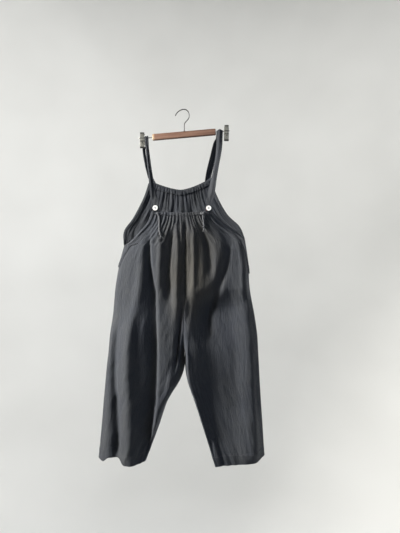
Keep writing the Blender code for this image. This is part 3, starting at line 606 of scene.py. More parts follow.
# %% Fold tables
# lift at top, at foot; left width at top, at foot; right width at top, at foot; (z, x) places
FOLDS = {
    "front_left": (
        (3, 26, 20, 30, 20, 30, ((-440, -124), (-506, -148), (-587, -160), (-691, -172),
         (-824, -198), (-939, -212), (-1031, -214), (-1150, -206), (-1264, -200),
         (-1380, -196))),
        (-8, -32, 12, 24, 12, 14, ((-790, -250), (-913, -261), (-1024, -264), (-1135, -256),
         (-1209, -252), (-1380, -252))),
        (10, 10, 40, 40, 18, 18, ((-760, -202), (-860, -204), (-1000, -206), (-1120, -204))),
        (-14, -46, 18, 56, 6, 7, ((-450, -132), (-560, -133), (-640, -124), (-700, -112),
         (-900, -106), (-1080, -110), (-1216, -126), (-1380, -152))),
        (9, 6, 10, 10, 10, 12, ((-440, -106), (-520, -94), (-600, -97), (-730, -98))),
        (-16, -12, 14, 20, 7, 9, ((-430, -40), (-524, -51), (-620, -60), (-700, -56),
         (-770, -56))),
        (0, 10, 6, 7, 30, 44, ((-670, -98), (-760, -97), (-900, -94), (-1080, -98),
         (-1216, -114), (-1380, -142))),
        (9, 10, 8, 12, 7, 11, ((-425, -34), (-520, -28), (-640, -30), (-820, -34))),
        (-30, -22, 9, 8, 4, 5, ((-725, -3), (-828, -15), (-900, -26), (-1010, -38))),
        (-5, -4, 5, 7, 5, 7, ((-580, -62), (-680, -72), (-760, -56))),
        (8, 12, 10, 16, 9, 12, ((-960, -46), (-1080, -66), (-1200, -114), (-1360, -166))),
    ),
    "front_right": (
        (9, 9, 8, 9, 7, 9, ((-430, 30), (-560, 32), (-660, 30), (-740, 22))),
        (-10, -14, 10, 28, 9, 14, ((-425, 52), (-500, 78), (-543, 90), (-610, 96), (-680, 92))),
        (9, 2, 20, 18, 30, 16, ((-440, 104), (-520, 130), (-585, 128), (-640, 114),
         (-700, 92))),
        (8, 14, 16, 20, 34, 50, ((-580, 42), (-660, 40), (-740, 32), (-820, 20), (-900, 14))),
        (-4, -26, 16, 52, 8, 18, ((-480, 184), (-543, 168), (-617, 150), (-691, 124),
         (-740, 104), (-800, 86), (-900, 88))),
        (-3, -12, 44, 60, 44, 60, ((-520, 182), (-640, 184), (-760, 196), (-1000, 214),
         (-1200, 232))),
        (-52, -14, 76, 44, 140, 96, ((-680, 104), (-765, 84), (-839, 92), (-913, 98),
         (-987, 106), (-1060, 106), (-1134, 108), (-1216, 118), (-1310, 134))),
        (3, 7, 8, 10, 14, 18, ((-905, 10), (-985, 16), (-1050, 28), (-1130, 60), (-1230, 98),
         (-1350, 138))),
        (20, 30, 40, 50, 16, 20, ((-430, 190), (-520, 218), (-600, 226), (-700, 232),
         (-860, 242), (-1000, 250), (-1200, 258), (-1380, 262))),
        (-4, -7, 6, 7, 6, 7, ((-1170, 78), (-1230, 108), (-1300, 134), (-1370, 150))),
        (5, 6, 12, 12, 7, 9, ((-500, 208), (-560, 213), (-640, 215), (-760, 216))),
        (9, 4, 24, 30, 24, 24, ((-400, 150), (-450, 176), (-500, 198), (-600, 210))),
    ),
    "back_left": (
        (8, 14, 16, 24, 12, 18, ((-360, -120), (-520, -150), (-800, -190), (-1380, -236))),
        (-14, -20, 22, 30, 12, 16, ((-370, -78), (-560, -104), (-900, -140), (-1380, -196))),
        (8, 10, 12, 16, 14, 18, ((-350, -44), (-560, -60), (-820, -74), (-1160, -134),
         (-1380, -168))),
        (-9, -6, 9, 11, 8, 10, ((-350, -22), (-560, -30), (-760, -36))),
        (-6, -12, 10, 16, 10, 20, ((-700, -232), (-1000, -262), (-1380, -290))),
    ),
    "back_right": (
        (9, 12, 14, 22, 16, 22, ((-340, 84), (-520, 112), (-820, 168), (-1380, 214))),
        (-15, -18, 12, 16, 22, 32, ((-345, 48), (-540, 66), (-860, 110), (-1380, 172))),
        (7, 10, 12, 18, 12, 16, ((-340, 20), (-600, 28), (-860, 56), (-1160, 96),
         (-1380, 138))),
        (-8, -7, 8, 12, 9, 12, ((-330, 66), (-420, 88), (-640, 140), (-800, 150))),
        (-7, -13, 12, 18, 10, 16, ((-640, 204), (-960, 238), (-1380, 262))),
    ),
}
FOLD_FADE = 0.085           # length over which a fold grows at each end
SEAM_SINK = ((-0.425, 0.0), (-0.460, 0.009), (-0.690, 0.009), (-0.760, 0.0))
SEAM_SINK_WIDTH = 0.0075    # the gathers pull the front's centre seam in to a deep line
SEAM_FADE = 0.08            # share of the width over which folds flatten to a seam
print("folds:", {panel: len(folds) for panel, folds in FOLDS.items()})

# %% Lift of the folds
def fold_lift(panel, x, z):
    """How far the folds of a panel stand out at places x, z."""
    total = np.zeros_like(x)
    for top_lift, foot_lift, left_top, left_foot, right_top, right_foot, places in FOLDS[panel]:
        places = MM * np.asarray(places, dtype=float)
        levels = places[:, 0]
        rank = np.interp(-z, -levels, np.arange(len(levels)))
        away = x - smooth_read(places, rank)[..., 1]
        share = np.clip((levels[0] - z) / (levels[0] - levels[-1]), 0.0, 1.0)
        fade = ease((levels[0] - z) / FOLD_FADE) * ease((z - levels[-1]) / FOLD_FADE)
        wide = MM * np.where(away < 0.0, mix(left_top, left_foot, share),
                             mix(right_top, right_foot, share))
        total += MM * mix(top_lift, foot_lift, share) * fade * np.exp(-(away / wide) ** 2)
    if panel.startswith("front"):
        levels, depths = zip(*SEAM_SINK)
        sink = np.interp(-z, -np.array(levels), depths)
        total -= sink * np.exp(-(x / SEAM_SINK_WIDTH) ** 2)
    return total


print("lift on the left leg:", np.round(fold_lift("front_left", np.array([-0.24, -0.115]),
                                                  np.array([-1.0, -1.0])), 4))

# %% [markdown]
# ## Gathers, creases and hems
#
# Under the casings the cloth is drawn up into small gathers, which open out and
# fade on the way down.  Washed linen also keeps long, sharp little creases that
# follow the thread.  Both could be bump, but the light of the photograph rakes
# over the cloth, so they are in the mesh.

# %% Gathers under a casing
# from and to: heights and lengths in metres, gaps in shares of the width, sideways
# leans, and widths in shares of a gap
GATHER_HEIGHTS = {"front": (0.0020, 0.0052), "back": (0.0014, 0.0036)}
GATHER_LENGTHS = (0.050, 0.170)
GATHER_GAPS = (0.060, 0.115)
GATHER_LEANS = (-0.030, 0.030)
GATHER_WIDTHS = (0.24, 0.36)
GATHER_SPAN = (0.06, 0.96)
GATHER_SEEDS = {"front_left": 4, "front_right": 9, "back_left": 16, "back_right": 23}


def gathers(panel, share, depth):
    """Gathers of uneven width, height and length; depth is the distance below the neckline."""
    random = np.random.default_rng(GATHER_SEEDS[panel])
    total = np.zeros_like(share)
    grown = mix(0.35, 1.0, ease(depth / 0.030))
    place, last = GATHER_SPAN
    while place < last:
        gap = random.uniform(*GATHER_GAPS)
        high = random.uniform(*GATHER_HEIGHTS[panel.split("_")[0]])
        long = random.uniform(*GATHER_LENGTHS)
        lean = random.uniform(*GATHER_LEANS)
        wide = gap * random.uniform(*GATHER_WIDTHS)
        middle = place + lean * depth / 0.10
        ridge = np.exp(-((share - middle) / (wide * (1.0 + 2.0 * depth))) ** 2)
        total += high * ridge * grown * np.exp(-(depth / long) ** 2)
        place += gap
    return total


print("gathers, highest:", round(float(gathers("front_left", np.linspace(0, 1, 200),
                                               np.full(200, 0.03)).max()), 4), "m")

# %% Creases of washed linen
CREASE_SEEDS = {"front_left": 101, "front_right": 211, "back_left": 307, "back_right": 401}
CREASE_SHARES = {"front_left": 0.6, "front_right": 0.9, "back_left": 1.0, "back_right": 1.0}


def crinkles(panel, run, down):
    """Sharp small creases along the thread; run and down are distances on the cloth."""
    seed = CREASE_SEEDS[panel]
    sway = 0.010 * hills(seed, run / 0.090, down / 0.200)
    wide = hills(seed + 1, (run + sway) / 0.030, down / 0.170)
    middle = hills(seed + 2, (run + sway) / 0.0135, down / 0.085)
    fine = hills(seed + 3, (run + 0.5 * sway) / 0.0070, down / 0.032)
    slant = hills(seed + 5, (run + 0.45 * down) / 0.022, (down - 0.45 * run) / 0.080)
    patch = CREASE_SHARES[panel] * (0.55 + 0.45 * hills(seed + 4, run / 0.110, down / 0.150))
    ridges = 0.30 - np.sqrt(middle ** 2 + 0.004)
    return (0.0022 * wide + 0.0024 * ridges * patch + 0.0008 * fine * patch
            + 0.0016 * slant * (1.0 - patch))


print("crinkles ready")

# %% [markdown]
# ## Making the panels
#
# A panel is a fine grid of points, moved to the form plus all its folds, and
# thickened by a Solidify modifier.  A cloth simulation would find folds of its
# own; listing them keeps those of the photograph.  The rows of the grid
# are close together at the casing and at the hem, where the cloth has steps.

# %% Bed of the drawstring's ends
CORD_BED = 0.0052           # half width of the cloth that a cord presses back
CORD_REST = 0.35            # from a cord's axis to the cloth under it, in its diameters
BED_START = 0.006           # the bed starts so far above the cord, and has its full depth there
BED_END = 0.022             # it ends so far below the cord, to take the knot
BED_FADE = 0.016


def press_back(panel, points):
    """Moves a front's points back to clear the cord that hangs on it."""
    face, side = panel.split("_")
    if face == "back":
        return
    route = np.asarray(CORD_ROUTES[side])
    place = -points[..., 2]
    across = np.interp(place, -route[:, 2], route[:, 0])
    limit = np.interp(place, -route[:, 2], route[:, 1]) + CORD_REST * CORD + CLOTH
    top = -route[0, 2]
    foot = -route[-1, 2] + BED_END
    press = (np.exp(-((points[..., 0] - across) / CORD_BED) ** 4)
             * ease((place - top + BED_START) / BED_START) * ease((foot - place) / BED_FADE))
    points[..., 1] += press * np.maximum(limit - points[..., 1], 0.0)


print("cord beds ready")

# %% Points of a panel
COLUMNS = 128
ROWS = 320
FINE_LEVELS = 1500          # the rows' levels are read from this many
HEM_TOP = -1.296            # height of the upper edge of the turned-up hem
HEM_STEP = 0.0012           # the hem stands out this far
HEM_RAISED = (-0.308, -0.220, 0.018)    # from x, to x, and how far the left hem is hitched up
HEM_RAISED_EDGE = 0.026
HEM_RAISED_TOP = -1.18      # above this height nothing is hitched up
HEM_RAISED_FADE = 0.12
THREAD_WIDTH = 0.30         # width of the thread pattern across a panel
SEAM_PUCKER = 0.0009
HEM_PUCKER = 0.0006


def panel_levels(panel):
    """Levels of a panel's rows: even on the cloth, closer at the casing and the hem's top."""
    dense = np.linspace(0.0, HEM_LEVEL, FINE_LEVELS)
    points, _ = panel_form(panel, np.full(FINE_LEVELS, 0.5), dense)
    crowd = 1.0 + 3.0 * np.exp(-((points[:, 2] - HEM_TOP) / 0.006) ** 2)
    crowd += 2.0 * np.exp(-(dense / 0.5) ** 2)
    steps = np.diff(reach_along(points)) * crowd[1:]
    weight = np.concatenate(([0.0], np.cumsum(steps)))
    return np.interp(np.linspace(0.0, weight[-1], ROWS + 1), weight, dense)


def facing(outs, towards):
    """Directions out of the cloth, turned over if they don't face towards others."""
    return outs if np.sum(outs * towards) > 0.0 else -outs


def surface_normals(points, outward):
    """Direction out of the cloth at each point of a grid."""
    down = np.gradient(points, axis=0)
    right = np.gradient(points, axis=1)
    return facing(unit(np.cross(right, down)), (0.0, outward, 0.0))


def off_seams(share, outer, inner):
    """1 inside a panel, 0 at its seams; outer and inner say over how much it fades."""
    return ease(share / outer) * ease((1.0 - share) / inner)


def large_lift(panel, points, share, depth):
    """Lift of the folds and gathers, flattened towards the seams but for the sunk centre."""
    x = points[..., 0]
    z = points[..., 2]
    lift = fold_lift(panel, x, z) * ease(share / SEAM_FADE)
    sunk = (np.abs(x) < 3.0 * SEAM_SINK_WIDTH) & (lift < 0.0)
    kept = sunk * ease((z - SEAM_SINK[-1][0]) / SEAM_FADE)
    lift *= mix(ease((1.0 - share) / SEAM_FADE), 1.0, kept)
    return lift + off_seams(share, 0.12, 0.02) * gathers(panel, share, depth)


def hitch_hem(points):
    """Moves the outer half of the left leg's hem up, as it hangs in the photograph."""
    start, end, rise = HEM_RAISED
    within = (ease((points[..., 0] - start) / HEM_RAISED_EDGE)
              * ease((end - points[..., 0]) / HEM_RAISED_EDGE))
    points[..., 2] += rise * within * ease((HEM_RAISED_TOP - points[..., 2]) / HEM_RAISED_FADE)


def fine_lift(panel, share, run, down, depth, from_hem):
    """Lift of the creases, of the puckers along the seams and of the turned-up hem."""
    seed = CREASE_SEEDS[panel]
    edge = off_seams(share, 0.05, 0.04)
    neck = mix(0.25, 1.0, ease((depth - 0.012) / 0.020))
    near_seam = np.exp(-(share / 0.06) ** 2) + np.exp(-((1.0 - share) / 0.06) ** 2)
    pucker = SEAM_PUCKER * hills(seed + 8, share / 0.05, down / 0.009)
    hem = HEM_STEP * ease(0.5 - from_hem / 0.003)
    near_hem = HEM_PUCKER * np.exp(-(from_hem / 0.012) ** 2)
    return (edge * neck * crinkles(panel, run, down)
            + near_seam * off_seams(share, 0.012, 0.012) * pucker
            + hem * off_seams(share, 0.02, 0.02)
            + near_hem * edge * hills(seed + 9, run / 0.008, down / 0.02))


def shape_panel(panel):
    """Grid of a panel with all its folds, and what the later cells read of it."""
    outward = OUTWARD[panel.split("_")[0]]
    levels = panel_levels(panel)
    across_grid, level_grid = np.meshgrid(np.linspace(0.0, 1.0, COLUMNS + 1), levels)
    points, share = panel_form(panel, across_grid, level_grid)
    depth = points[:1, :, 2] - points[..., 2]
    lift = large_lift(panel, points, share, depth)
    points[..., 1] += outward * lift
    heights = points[..., 2].copy()
    if panel == "front_left":
        hitch_hem(points)
    run = share * THREAD_WIDTH
    down = np.broadcast_to(reach_along(points[:, COLUMNS // 2])[:, None], share.shape)
    detail = fine_lift(panel, share, run, down, depth, heights - HEM_TOP)
    points = points + surface_normals(points, outward) * detail[..., None]
    press_back(panel, points)
    # painted highlight, partly rubbed wear: most on the ridges of folds and creases, none in
    # their valleys
    ridge_wear_and_highlight = np.clip(0.5 * (crinkles(panel, run, down) / 0.0025 + lift / 0.020), 0.0, 1.0)
    return {"points": points, "normals": surface_normals(points, outward), "heights": heights,
            "levels": levels, "run": run, "down": down, "ridge_wear_and_highlight": ridge_wear_and_highlight}


shapes = {panel: shape_panel(panel) for panel in FOLDS}
for panel, shape in shapes.items():
    corners = shape["points"].reshape(-1, 3)
    print(panel, np.round(corners.min(axis=0), 3), np.round(corners.max(axis=0), 3))

# %% [markdown]
# `cloth_piece` turns any such grid into an object.  bmesh makes a flat grid of
# the right size, and each of its corners is moved to its point.  The UV map
# holds the place on the cloth in metres, and the modifier gives the wall.

# %% Grid to cloth
def mesh_data(name, mesh):
    """Mesh data of a finished bmesh, which is freed."""
    data = bpy.data.meshes.new(name)
    mesh.to_mesh(data)
    mesh.free()
    data.shade_smooth()
    return data


def cloth_piece(name, points, run, down, outward, wall=CLOTH, offset=1.0, ridge_wear_and_highlight=None,
                material=LINEN, subdivide=0):
    """Cloth through a grid of points; run and down are its distances on the cloth."""
    rows, columns = points.shape[:2]
    mesh = bmesh.new()
    bmesh.ops.create_grid(mesh, x_segments=columns - 1, y_segments=rows - 1, size=1.0)
    mesh.verts.ensure_lookup_table()
    shares = 0.5 + 0.5 * np.array([corner.co[:2] for corner in mesh.verts])
    column = np.rint(shares[:, 0] * (columns - 1)).astype(int)
    row = np.rint(shares[:, 1] * (rows - 1)).astype(int)
    for corner, place in zip(mesh.verts, points[row, column]):
        corner.co = place
    mesh.normal_update()
    outward = Vector(outward)
    if sum(face.normal.dot(outward) * face.calc_area() for face in mesh.faces) < 0.0:
        bmesh.ops.reverse_faces(mesh, faces=mesh.faces)
    layer = mesh.loops.layers.uv.new("Cloth")
    where = np.stack((run[row, column], down[row, column]), axis=1)
    for face in mesh.faces:
        for loop in face.loops:
            loop[layer].uv = where[loop.vert.index]
    data = mesh_data(name, mesh)
    mark = data.attributes.new("RidgeWearAndHighlight", "FLOAT", "POINT")
    values = np.zeros(len(row)) if ridge_wear_and_highlight is None else ridge_wear_and_highlight[row, column]
    mark.data.foreach_set("value", values.astype(np.float32))
    made = add_piece(name, data, material)
    if subdivide:
        finer = made.modifiers.new("Finer", "SUBSURF")
        finer.levels = subdivide
        finer.render_levels = subdivide
    thicken = made.modifiers.new("Wall", "SOLIDIFY")
    thicken.thickness = wall
    thicken.offset = offset
    return made


# %% The four panels
for panel, shape in shapes.items():
    face = panel.split("_")[0]
    made = cloth_piece(panel + "_panel", shape["points"], shape["run"], shape["down"],
                       (0.0, OUTWARD[face], 0.0), ridge_wear_and_highlight=shape["ridge_wear_and_highlight"])
    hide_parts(panel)

# %% [markdown]
# ## Casings, bindings and pocket edges
#
# These are strips sewn on top of the panels.  `on_panel` reads a place on the
# finished cloth and how it faces, so a strip follows every gather under it and
# lies just clear of it.

# %% Places on a panel
def on_panel(panel, across, level, lift):
    """Points at shares of the width and levels of a panel, lifted off its base."""
    shape = shapes[panel]
    across, level, lift = np.broadcast_arrays(np.asarray(across, dtype=float), level, lift)
    column = np.clip(across, 0.0, 1.0) * COLUMNS
    row = np.interp(level, shape["levels"], np.arange(ROWS + 1))
    left = np.minimum(column.astype(int), COLUMNS - 1)
    above = np.minimum(row.astype(int), ROWS - 1)
    part_x = (column - left)[..., None]
    part_y = (row - above)[..., None]
    found = []
    for key in ("points", "normals"):
        grid = shape[key]
        found.append(mix(mix(grid[above, left], grid[above, left + 1], part_x),
                         mix(grid[above + 1, left], grid[above + 1, left + 1], part_x), part_y))
    return found[0] + unit(found[1]) * lift[..., None]


print("a point on the front:", np.round(on_panel("front_left", 0.5, 2.0, 0.0), 3))

# %% Casings along the necklines
CASING_COLUMNS = 96
CASING_ROWS = 9
CASING_WALL = 0.0010
CASING_LIFTS = {"front": CLOTH + 0.0004, "back": -0.0003 - CLOTH}   # off a panel's base
CASING_BULGE = 0.0011
CASING_PUCKER = 0.0009
CASING_SEEDS = {"front": 5, "back": 7}


def casing_grid(face):
    """Grid of a casing, outside the front's cloth or inside the back's."""
    part = np.linspace(0.0, 1.0, CASING_ROWS)
    across_grid, level_grid = np.meshgrid(np.linspace(0.0, 1.0, CASING_COLUMNS + 1),
                                          CASING_LEVEL * part)
    arch = np.sin(np.pi * part)[:, None]
    away = CASING_LIFTS[face] - OUTWARD[face] * CASING_BULGE * arch
    left, right = (on_panel(face + side, across_grid, level_grid, away)
                   for side in ("_left", "_right"))
    middle = 0.5 * (left[:, -1:] + right[:, -1:])
    grid = np.concatenate((left[:, :-1], middle, right[:, -2::-1]), axis=1)
    run, down = np.meshgrid(reach_along(grid[0]), reach_along(grid[:, 5]))
    pucker = CASING_PUCKER * hills(CASING_SEEDS[face], run / 0.0075, down / 0.02)
    grid[..., 1] += OUTWARD[face] * pucker * arch
    return grid, run, down


casings = {}
for face in OUTWARD:
    grid, run, down = casing_grid(face)
    casings[face] = grid
    casing = cloth_piece(face + "_casing_cloth", grid, run, down, (0.0, -1.0, 0.0),
                         wall=CASING_WALL)
    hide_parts(face + "_casing")

# %% [markdown]
# The armhole binding is a bias strip folded over the raw edge.  It is swept
# along the edge as a narrow U: up the inside, over the rim and down the
# outside, where a row of stitches holds it.

# %% Armhole bindings
BINDING_STEPS = 60
BINDING_WALL = 0.0008
BINDING_SMOOTHING = 6       # times that its directions are evened out along it
BINDING_SECTION = (         # distance into the cloth from its edge, lift off its base
    (0.0085, -0.0012), (0.0050, -0.0015), (0.0010, -0.0013), (-0.0010, -0.0004),
    (-0.0014, 0.0008), (-0.0008, 0.0020), (0.0012, 0.0028), (0.0045, 0.0031),
    (0.0075, 0.0028), (0.0090, 0.0022),
)


def square_to(vectors, along):
    """Unit vectors, with what they have along other unit vectors taken out."""
    return unit(vectors - along * np.sum(vectors * along, axis=-1, keepdims=True))


def armhole_frames(side):
    """Edge points, directions into the cloth and directions out of it, front to back."""
    edges = []
    for face in OUTWARD:
        panel = face + "_" + side
        levels = np.linspace(CASING_LEVEL * 0.5, UNDERARM_LEVEL - 0.25, BINDING_STEPS)
        edge = on_panel(panel, 0.0, levels, 0.0)
        into = on_panel(panel, 0.05, levels, 0.0) - edge
        out = on_panel(panel, 0.02, levels, 1.0) - on_panel(panel, 0.02, levels, 0.0)
        edges.append((edge, square_to(into, unit(np.gradient(edge, axis=0))), out))
    sign = SIDE_SIGNS[side]
    corner = on_panel("front_" + side, 0.0, np.array([float(UNDERARM_LEVEL)]), 0.0)
    into = unit(np.array([[-0.25 * sign, 0.0, -1.0]]))
    out = np.array([[sign, 0.0, -0.25]])
    return [np.concatenate((front, middle, back[::-1]))
            for front, middle, back in zip(edges[0], (corner, into, out), edges[1])]


def binding_grid(side):
    """Narrow U round an armhole's edge, swept from the front neckline to the back's."""
    edge, into, out = armhole_frames(side)
    for _ in range(BINDING_SMOOTHING):
        for vectors in (into, out):
            vectors[1:-1] = (vectors[:-2] + vectors[1:-1] + vectors[2:]) / 3.0
    along = unit(np.gradient(edge, axis=0))
    out = square_to(out, along)
    into = square_to(square_to(into, along), out)
    reach = reach_along(edge)
    section = np.asarray(BINDING_SECTION)
    ripple = 1.0 + 0.25 * hills(31, reach / 0.012, np.zeros_like(reach))
    lift = section[None, :, 1] * ripple[:, None]
    grid = (edge[:, None] + into[:, None] * section[None, :, 0, None]
            + out[:, None] * lift[..., None])
    run, down = np.meshgrid(reach_along(section), reach)
    return grid, run, down


bindings = {}
for side, sign in SIDE_SIGNS.items():
    grid, run, down = binding_grid(side)
    bindings[side] = grid
    binding = cloth_piece("armhole_binding_cloth_" + side, grid, run, down,
                          (sign, 0.0, 0.0), wall=BINDING_WALL, offset=0.0, subdivide=1)
    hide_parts("armhole_binding_" + side)

# %% [markdown]
# The pockets are slanted openings near the side seams.  Only their turned
# edges show, so each is a narrow strip along the opening, with its outer side
# standing a little away from the cloth below.

# %% Pocket edges
POCKETS = {"left": ((0.27, 3.35), (0.045, 5.15)), "right": ((0.25, 3.75), (0.045, 5.45))}
POCKET_EDGE = 0.010
POCKET_WALL = 0.0009
POCKET_STEPS = 48
POCKET_LIFTS = CLOTH + np.array([0.0028, 0.0026, 0.0020, 0.0015, 0.0012, 0.0009, 0.0002])
PROBE = 0.01                # share of a panel's width over which its cloth is measured


def pocket_grid(side):
    """Narrow strip along a pocket's opening, whose outer side stands off the cloth."""
    panel = "front_" + side
    top, foot = POCKETS[side]
    share = np.linspace(0.0, 1.0, POCKET_STEPS + 1)
    across = mix(top[0], foot[0], share)
    level = mix(top[1], foot[1], share)
    step = on_panel(panel, across + PROBE, level, 0.0) - on_panel(panel, across, level, 0.0)
    width_step = PROBE * POCKET_EDGE / np.linalg.norm(step, axis=1)
    part = np.linspace(0.0, 1.0, len(POCKET_LIFTS))
    grid = on_panel(panel, across[:, None] + width_step[:, None] * part[None],
                    level[:, None], POCKET_LIFTS[None])
    run, down = np.meshgrid(part * POCKET_EDGE, reach_along(grid[:, 3]))
    return grid, run, down


pockets = {}
for side in POCKETS:
    grid, run, down = pocket_grid(side)
    pockets[side] = grid
    edge = cloth_piece("pocket_edge_cloth_" + side, grid, run, down, (0.0, -1.0, 0.0),
                       wall=POCKET_WALL)
    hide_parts("pocket_edge_" + side)

# %% [markdown]
# ## The straps
#
# Each strap is a doubled strip of linen.  It starts at the back neckline, goes
# up over the rod and comes down to its button on the front.  Under the rod's
# pull it bunches, so its section is an arch or two humps instead of a flat
# strip; `hump` finds how high they stand for the cloth to keep its width.

# %% Straps
BAR_CENTRE = np.array((-0.0055, 0.0, -0.0955))
BAR_TILT = math.radians(4.95)
ROD_DIRECTION = np.array((math.cos(BAR_TILT), 0.0, math.sin(BAR_TILT)))
ROD_RADIUS = 0.002
ROD_GAP = 0.0003            # clearance of a strap over the rod
STRAP_WIDTH = 0.027
STRAP_WALL = 0.0022
STRAP_COLUMNS = 25
STRAP_PLACES = {"left": -0.1448, "right": 0.1380}   # on the rod, from the bar's middle
STRAP_ROD_WIDTHS = {"left": 12, "right": 24}
STRAP_HUMPS = {"left": 2.0, "right": 1.0}
STRAP_SEEDS = {"left": 43, "right": 47}
HUMP_LIMIT = 0.0052
# x, y, z of the middle and width in millimetres, turn about the upright in degrees
STRAP_BACKS = {
    "left": ((-121, 29, -297, 22, -4), (-128.5, 26.5, -276, 21, -4), (-140, 22.5, -250, 19, 30),
             (-150, 20.5, -219, 15, 50), (-158, 19, -181, 13, 55),
             (-162.5, 18.5, -148, 12, 40), (-158, 16.5, -130, 12, 15),
             (-150.5, 9, -118, 12, 0)),
    "right": ((84, 30, -283, 23, 2), (88, 27, -258, 23, 2), (93.5, 22, -229, 24, 20),
              (106, 16, -178, 25, 30),
              (119, 11, -129, 25, 20), (129, 8, -106, 22, 4)),
}
STRAP_FRONTS = {
    "left": ((-148, -7.5, -123, 12, 0), (-146.5, -11, -146, 12, 20),
             (-142, -17, -186, 14, 20), (-136.5, -24, -226, 15, 20),
             (-130.5, -31, -265, 18, 30), (-122, -39, -316, 24, 25),
             (-115, -44, -354, 27, 5), (-111.5, -47.9, -380, 27, 0),
             (-110, -47.9, -397.5, 27, 0)),
    "right": ((131, -7.5, -104, 24, 0), (129.5, -13, -143, 24, -20),
              (124.5, -20, -187, 24, -38), (117, -27, -227, 24, -40),
              (110, -33, -266, 24, -38), (102, -39, -309, 26, -25),
              (94, -44, -351, 27, -5), (89.5, -47.9, -380, 27, 0),
              (87.5, -47.9, -398.5, 27, 0)),
}


def along_rod(place):
    """Point on the rod's axis, place metres from the middle of the bar."""
    return BAR_CENTRE + place * ROD_DIRECTION


def strap_rows(side):
    """Rows of a whole strap: x, y, z and width in millimetres, and turn in degrees."""
    rod = along_rod(STRAP_PLACES[side]) / MM
    reach = (ROD_RADIUS + ROD_GAP + 0.5 * STRAP_WALL) / MM
    arc = []
    for angle in np.radians(np.linspace(-15.0, 195.0, 15)):
        arc.append((rod[0], reach * math.cos(angle), rod[2] + reach * math.sin(angle),
                    STRAP_ROD_WIDTHS[side], 0.0))
    back, front = (smooth_read(table, np.linspace(0, len(table) - 1, 8 * len(table)))
                   for table in (STRAP_BACKS[side], STRAP_FRONTS[side]))
    return np.concatenate((back, arc, front))


def strap_grid(side):
    """Grid of a strap, humped where it is narrower than its cloth."""
    rows = strap_rows(side)
    middle = MM * rows[:, :3]
    width = MM * rows[:, 3]
    turn = np.radians(rows[:, 4])
    lean = math.tan(BAR_TILT) * np.exp(-(np.abs(middle[:, 2] - BAR_CENTRE[2]) / 0.02) ** 2)
    half = np.stack((np.cos(turn), np.sin(turn), lean), axis=1)
    out = unit(np.cross(half, unit(np.gradient(middle, axis=0))))
    if out[-1, 1] > 0.0:
        out = -out
    humps = STRAP_HUMPS[side]
    spare = np.maximum(STRAP_WIDTH / width - 1.0, 0.0)
    hump = np.minimum(width / (np.pi * humps) * 2.0 * np.sqrt(spare), HUMP_LIMIT)
    reach = reach_along(middle)
    part, down = np.meshgrid(np.linspace(0.0, 1.0, STRAP_COLUMNS), reach)
    wander = 0.10 * hills(STRAP_SEEDS[side], reach / 0.05, np.zeros_like(reach))
    rise = hump[:, None] * np.sin(np.pi * humps * part + wander[:, None]) ** 2
    ripple = 0.0005 * hills(53, 3.0 * part, down / 0.02)
    sideways = (part - 0.5) * width[:, None]
    grid = (middle[:, None] + half[:, None] * sideways[..., None]
            + out[:, None] * (rise + ripple)[..., None])
    return grid, part * STRAP_WIDTH, down, out


straps = {}
for side in STRAP_PLACES:
    grid, run, down, out = strap_grid(side)
    straps[side] = (grid, out)
    strap = cloth_piece("strap_cloth_" + side, grid, run, down, (0.0, -1.0, 0.0),
                        wall=STRAP_WALL, offset=0.0, subdivide=1)
    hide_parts("strap_" + side)

# %% [markdown]
# ## Finishes of the hard parts
#
# The hanger's bar is turned reddish wood under a thin satin lacquer, with its
# grain along its length.  The rod and clips are dull plated steel, the hook is
# darkened wire, and the buttons are white with a faint marbling.  Scratches and
# grain could be painted, but noise stretched along the part stays sharp close up.

# %% Wood, steel, button and rubber
WHITE = (1.0, 1.0, 1.0)
WOOD_STOPS = ((0.32, (0.098, 0.047, 0.032)), (0.48, (0.175, 0.094, 0.064)),
              (0.66, (0.255, 0.153, 0.106)))


def make_wood():
    finish = Finish("Red-brown wood", Roughness=0.5, Specular_IOR_Level=0.35)
    centre = finish.mapped(finish.place, move=[-float(v) for v in BAR_CENTRE])
    level = finish.mapped(centre, turn=(0.0, BAR_TILT, 0.0))
    grain = finish.streaks(level, (7.0, 190.0, 190.0), 5.0, 0.6)
    pores = finish.streaks(level, (45.0, 1500.0, 1500.0), 2.0)
    broad = finish.streaks(level, (4.0, 30.0, 60.0), 2.0)
    colour = finish.ramp(finish.weighted(grain, 0.6, broad, 0.4), WOOD_STOPS)
    speck = finish.ramp(pores, ((0.30, (0.45, 0.38, 0.34)), (0.42, WHITE)))
    colour = finish.blend(0.7, colour, speck, "MULTIPLY")
    # the long edges are darker, and the left end, which faces the window lamp, is
    # painted paler as a painted highlight
    split = finish.node("SeparateXYZ", Vector=level)
    rim = finish.math("MULTIPLY", finish.math("ABSOLUTE", split.outputs["Z"]), 80.0)
    dark = finish.ramp(rim, ((0.62, WHITE), (0.95, (0.42, 0.36, 0.34))))
    colour = finish.blend(0.8, colour, dark, "MULTIPLY")
    # painted highlight on the left end
    end = finish.ramp(finish.math("MULTIPLY", split.outputs["X"], -8.0),
                      ((0.90, (0.0, 0.0, 0.0)), (0.95, WHITE)))
    colour = finish.blend(end, colour, (0.36, 0.25, 0.15, 1.0))
    finish.to_shader(colour, "Base Color")
    finish.to_shader(finish.bump(pores, 0.0003, 0.35), "Normal")
    return finish.material


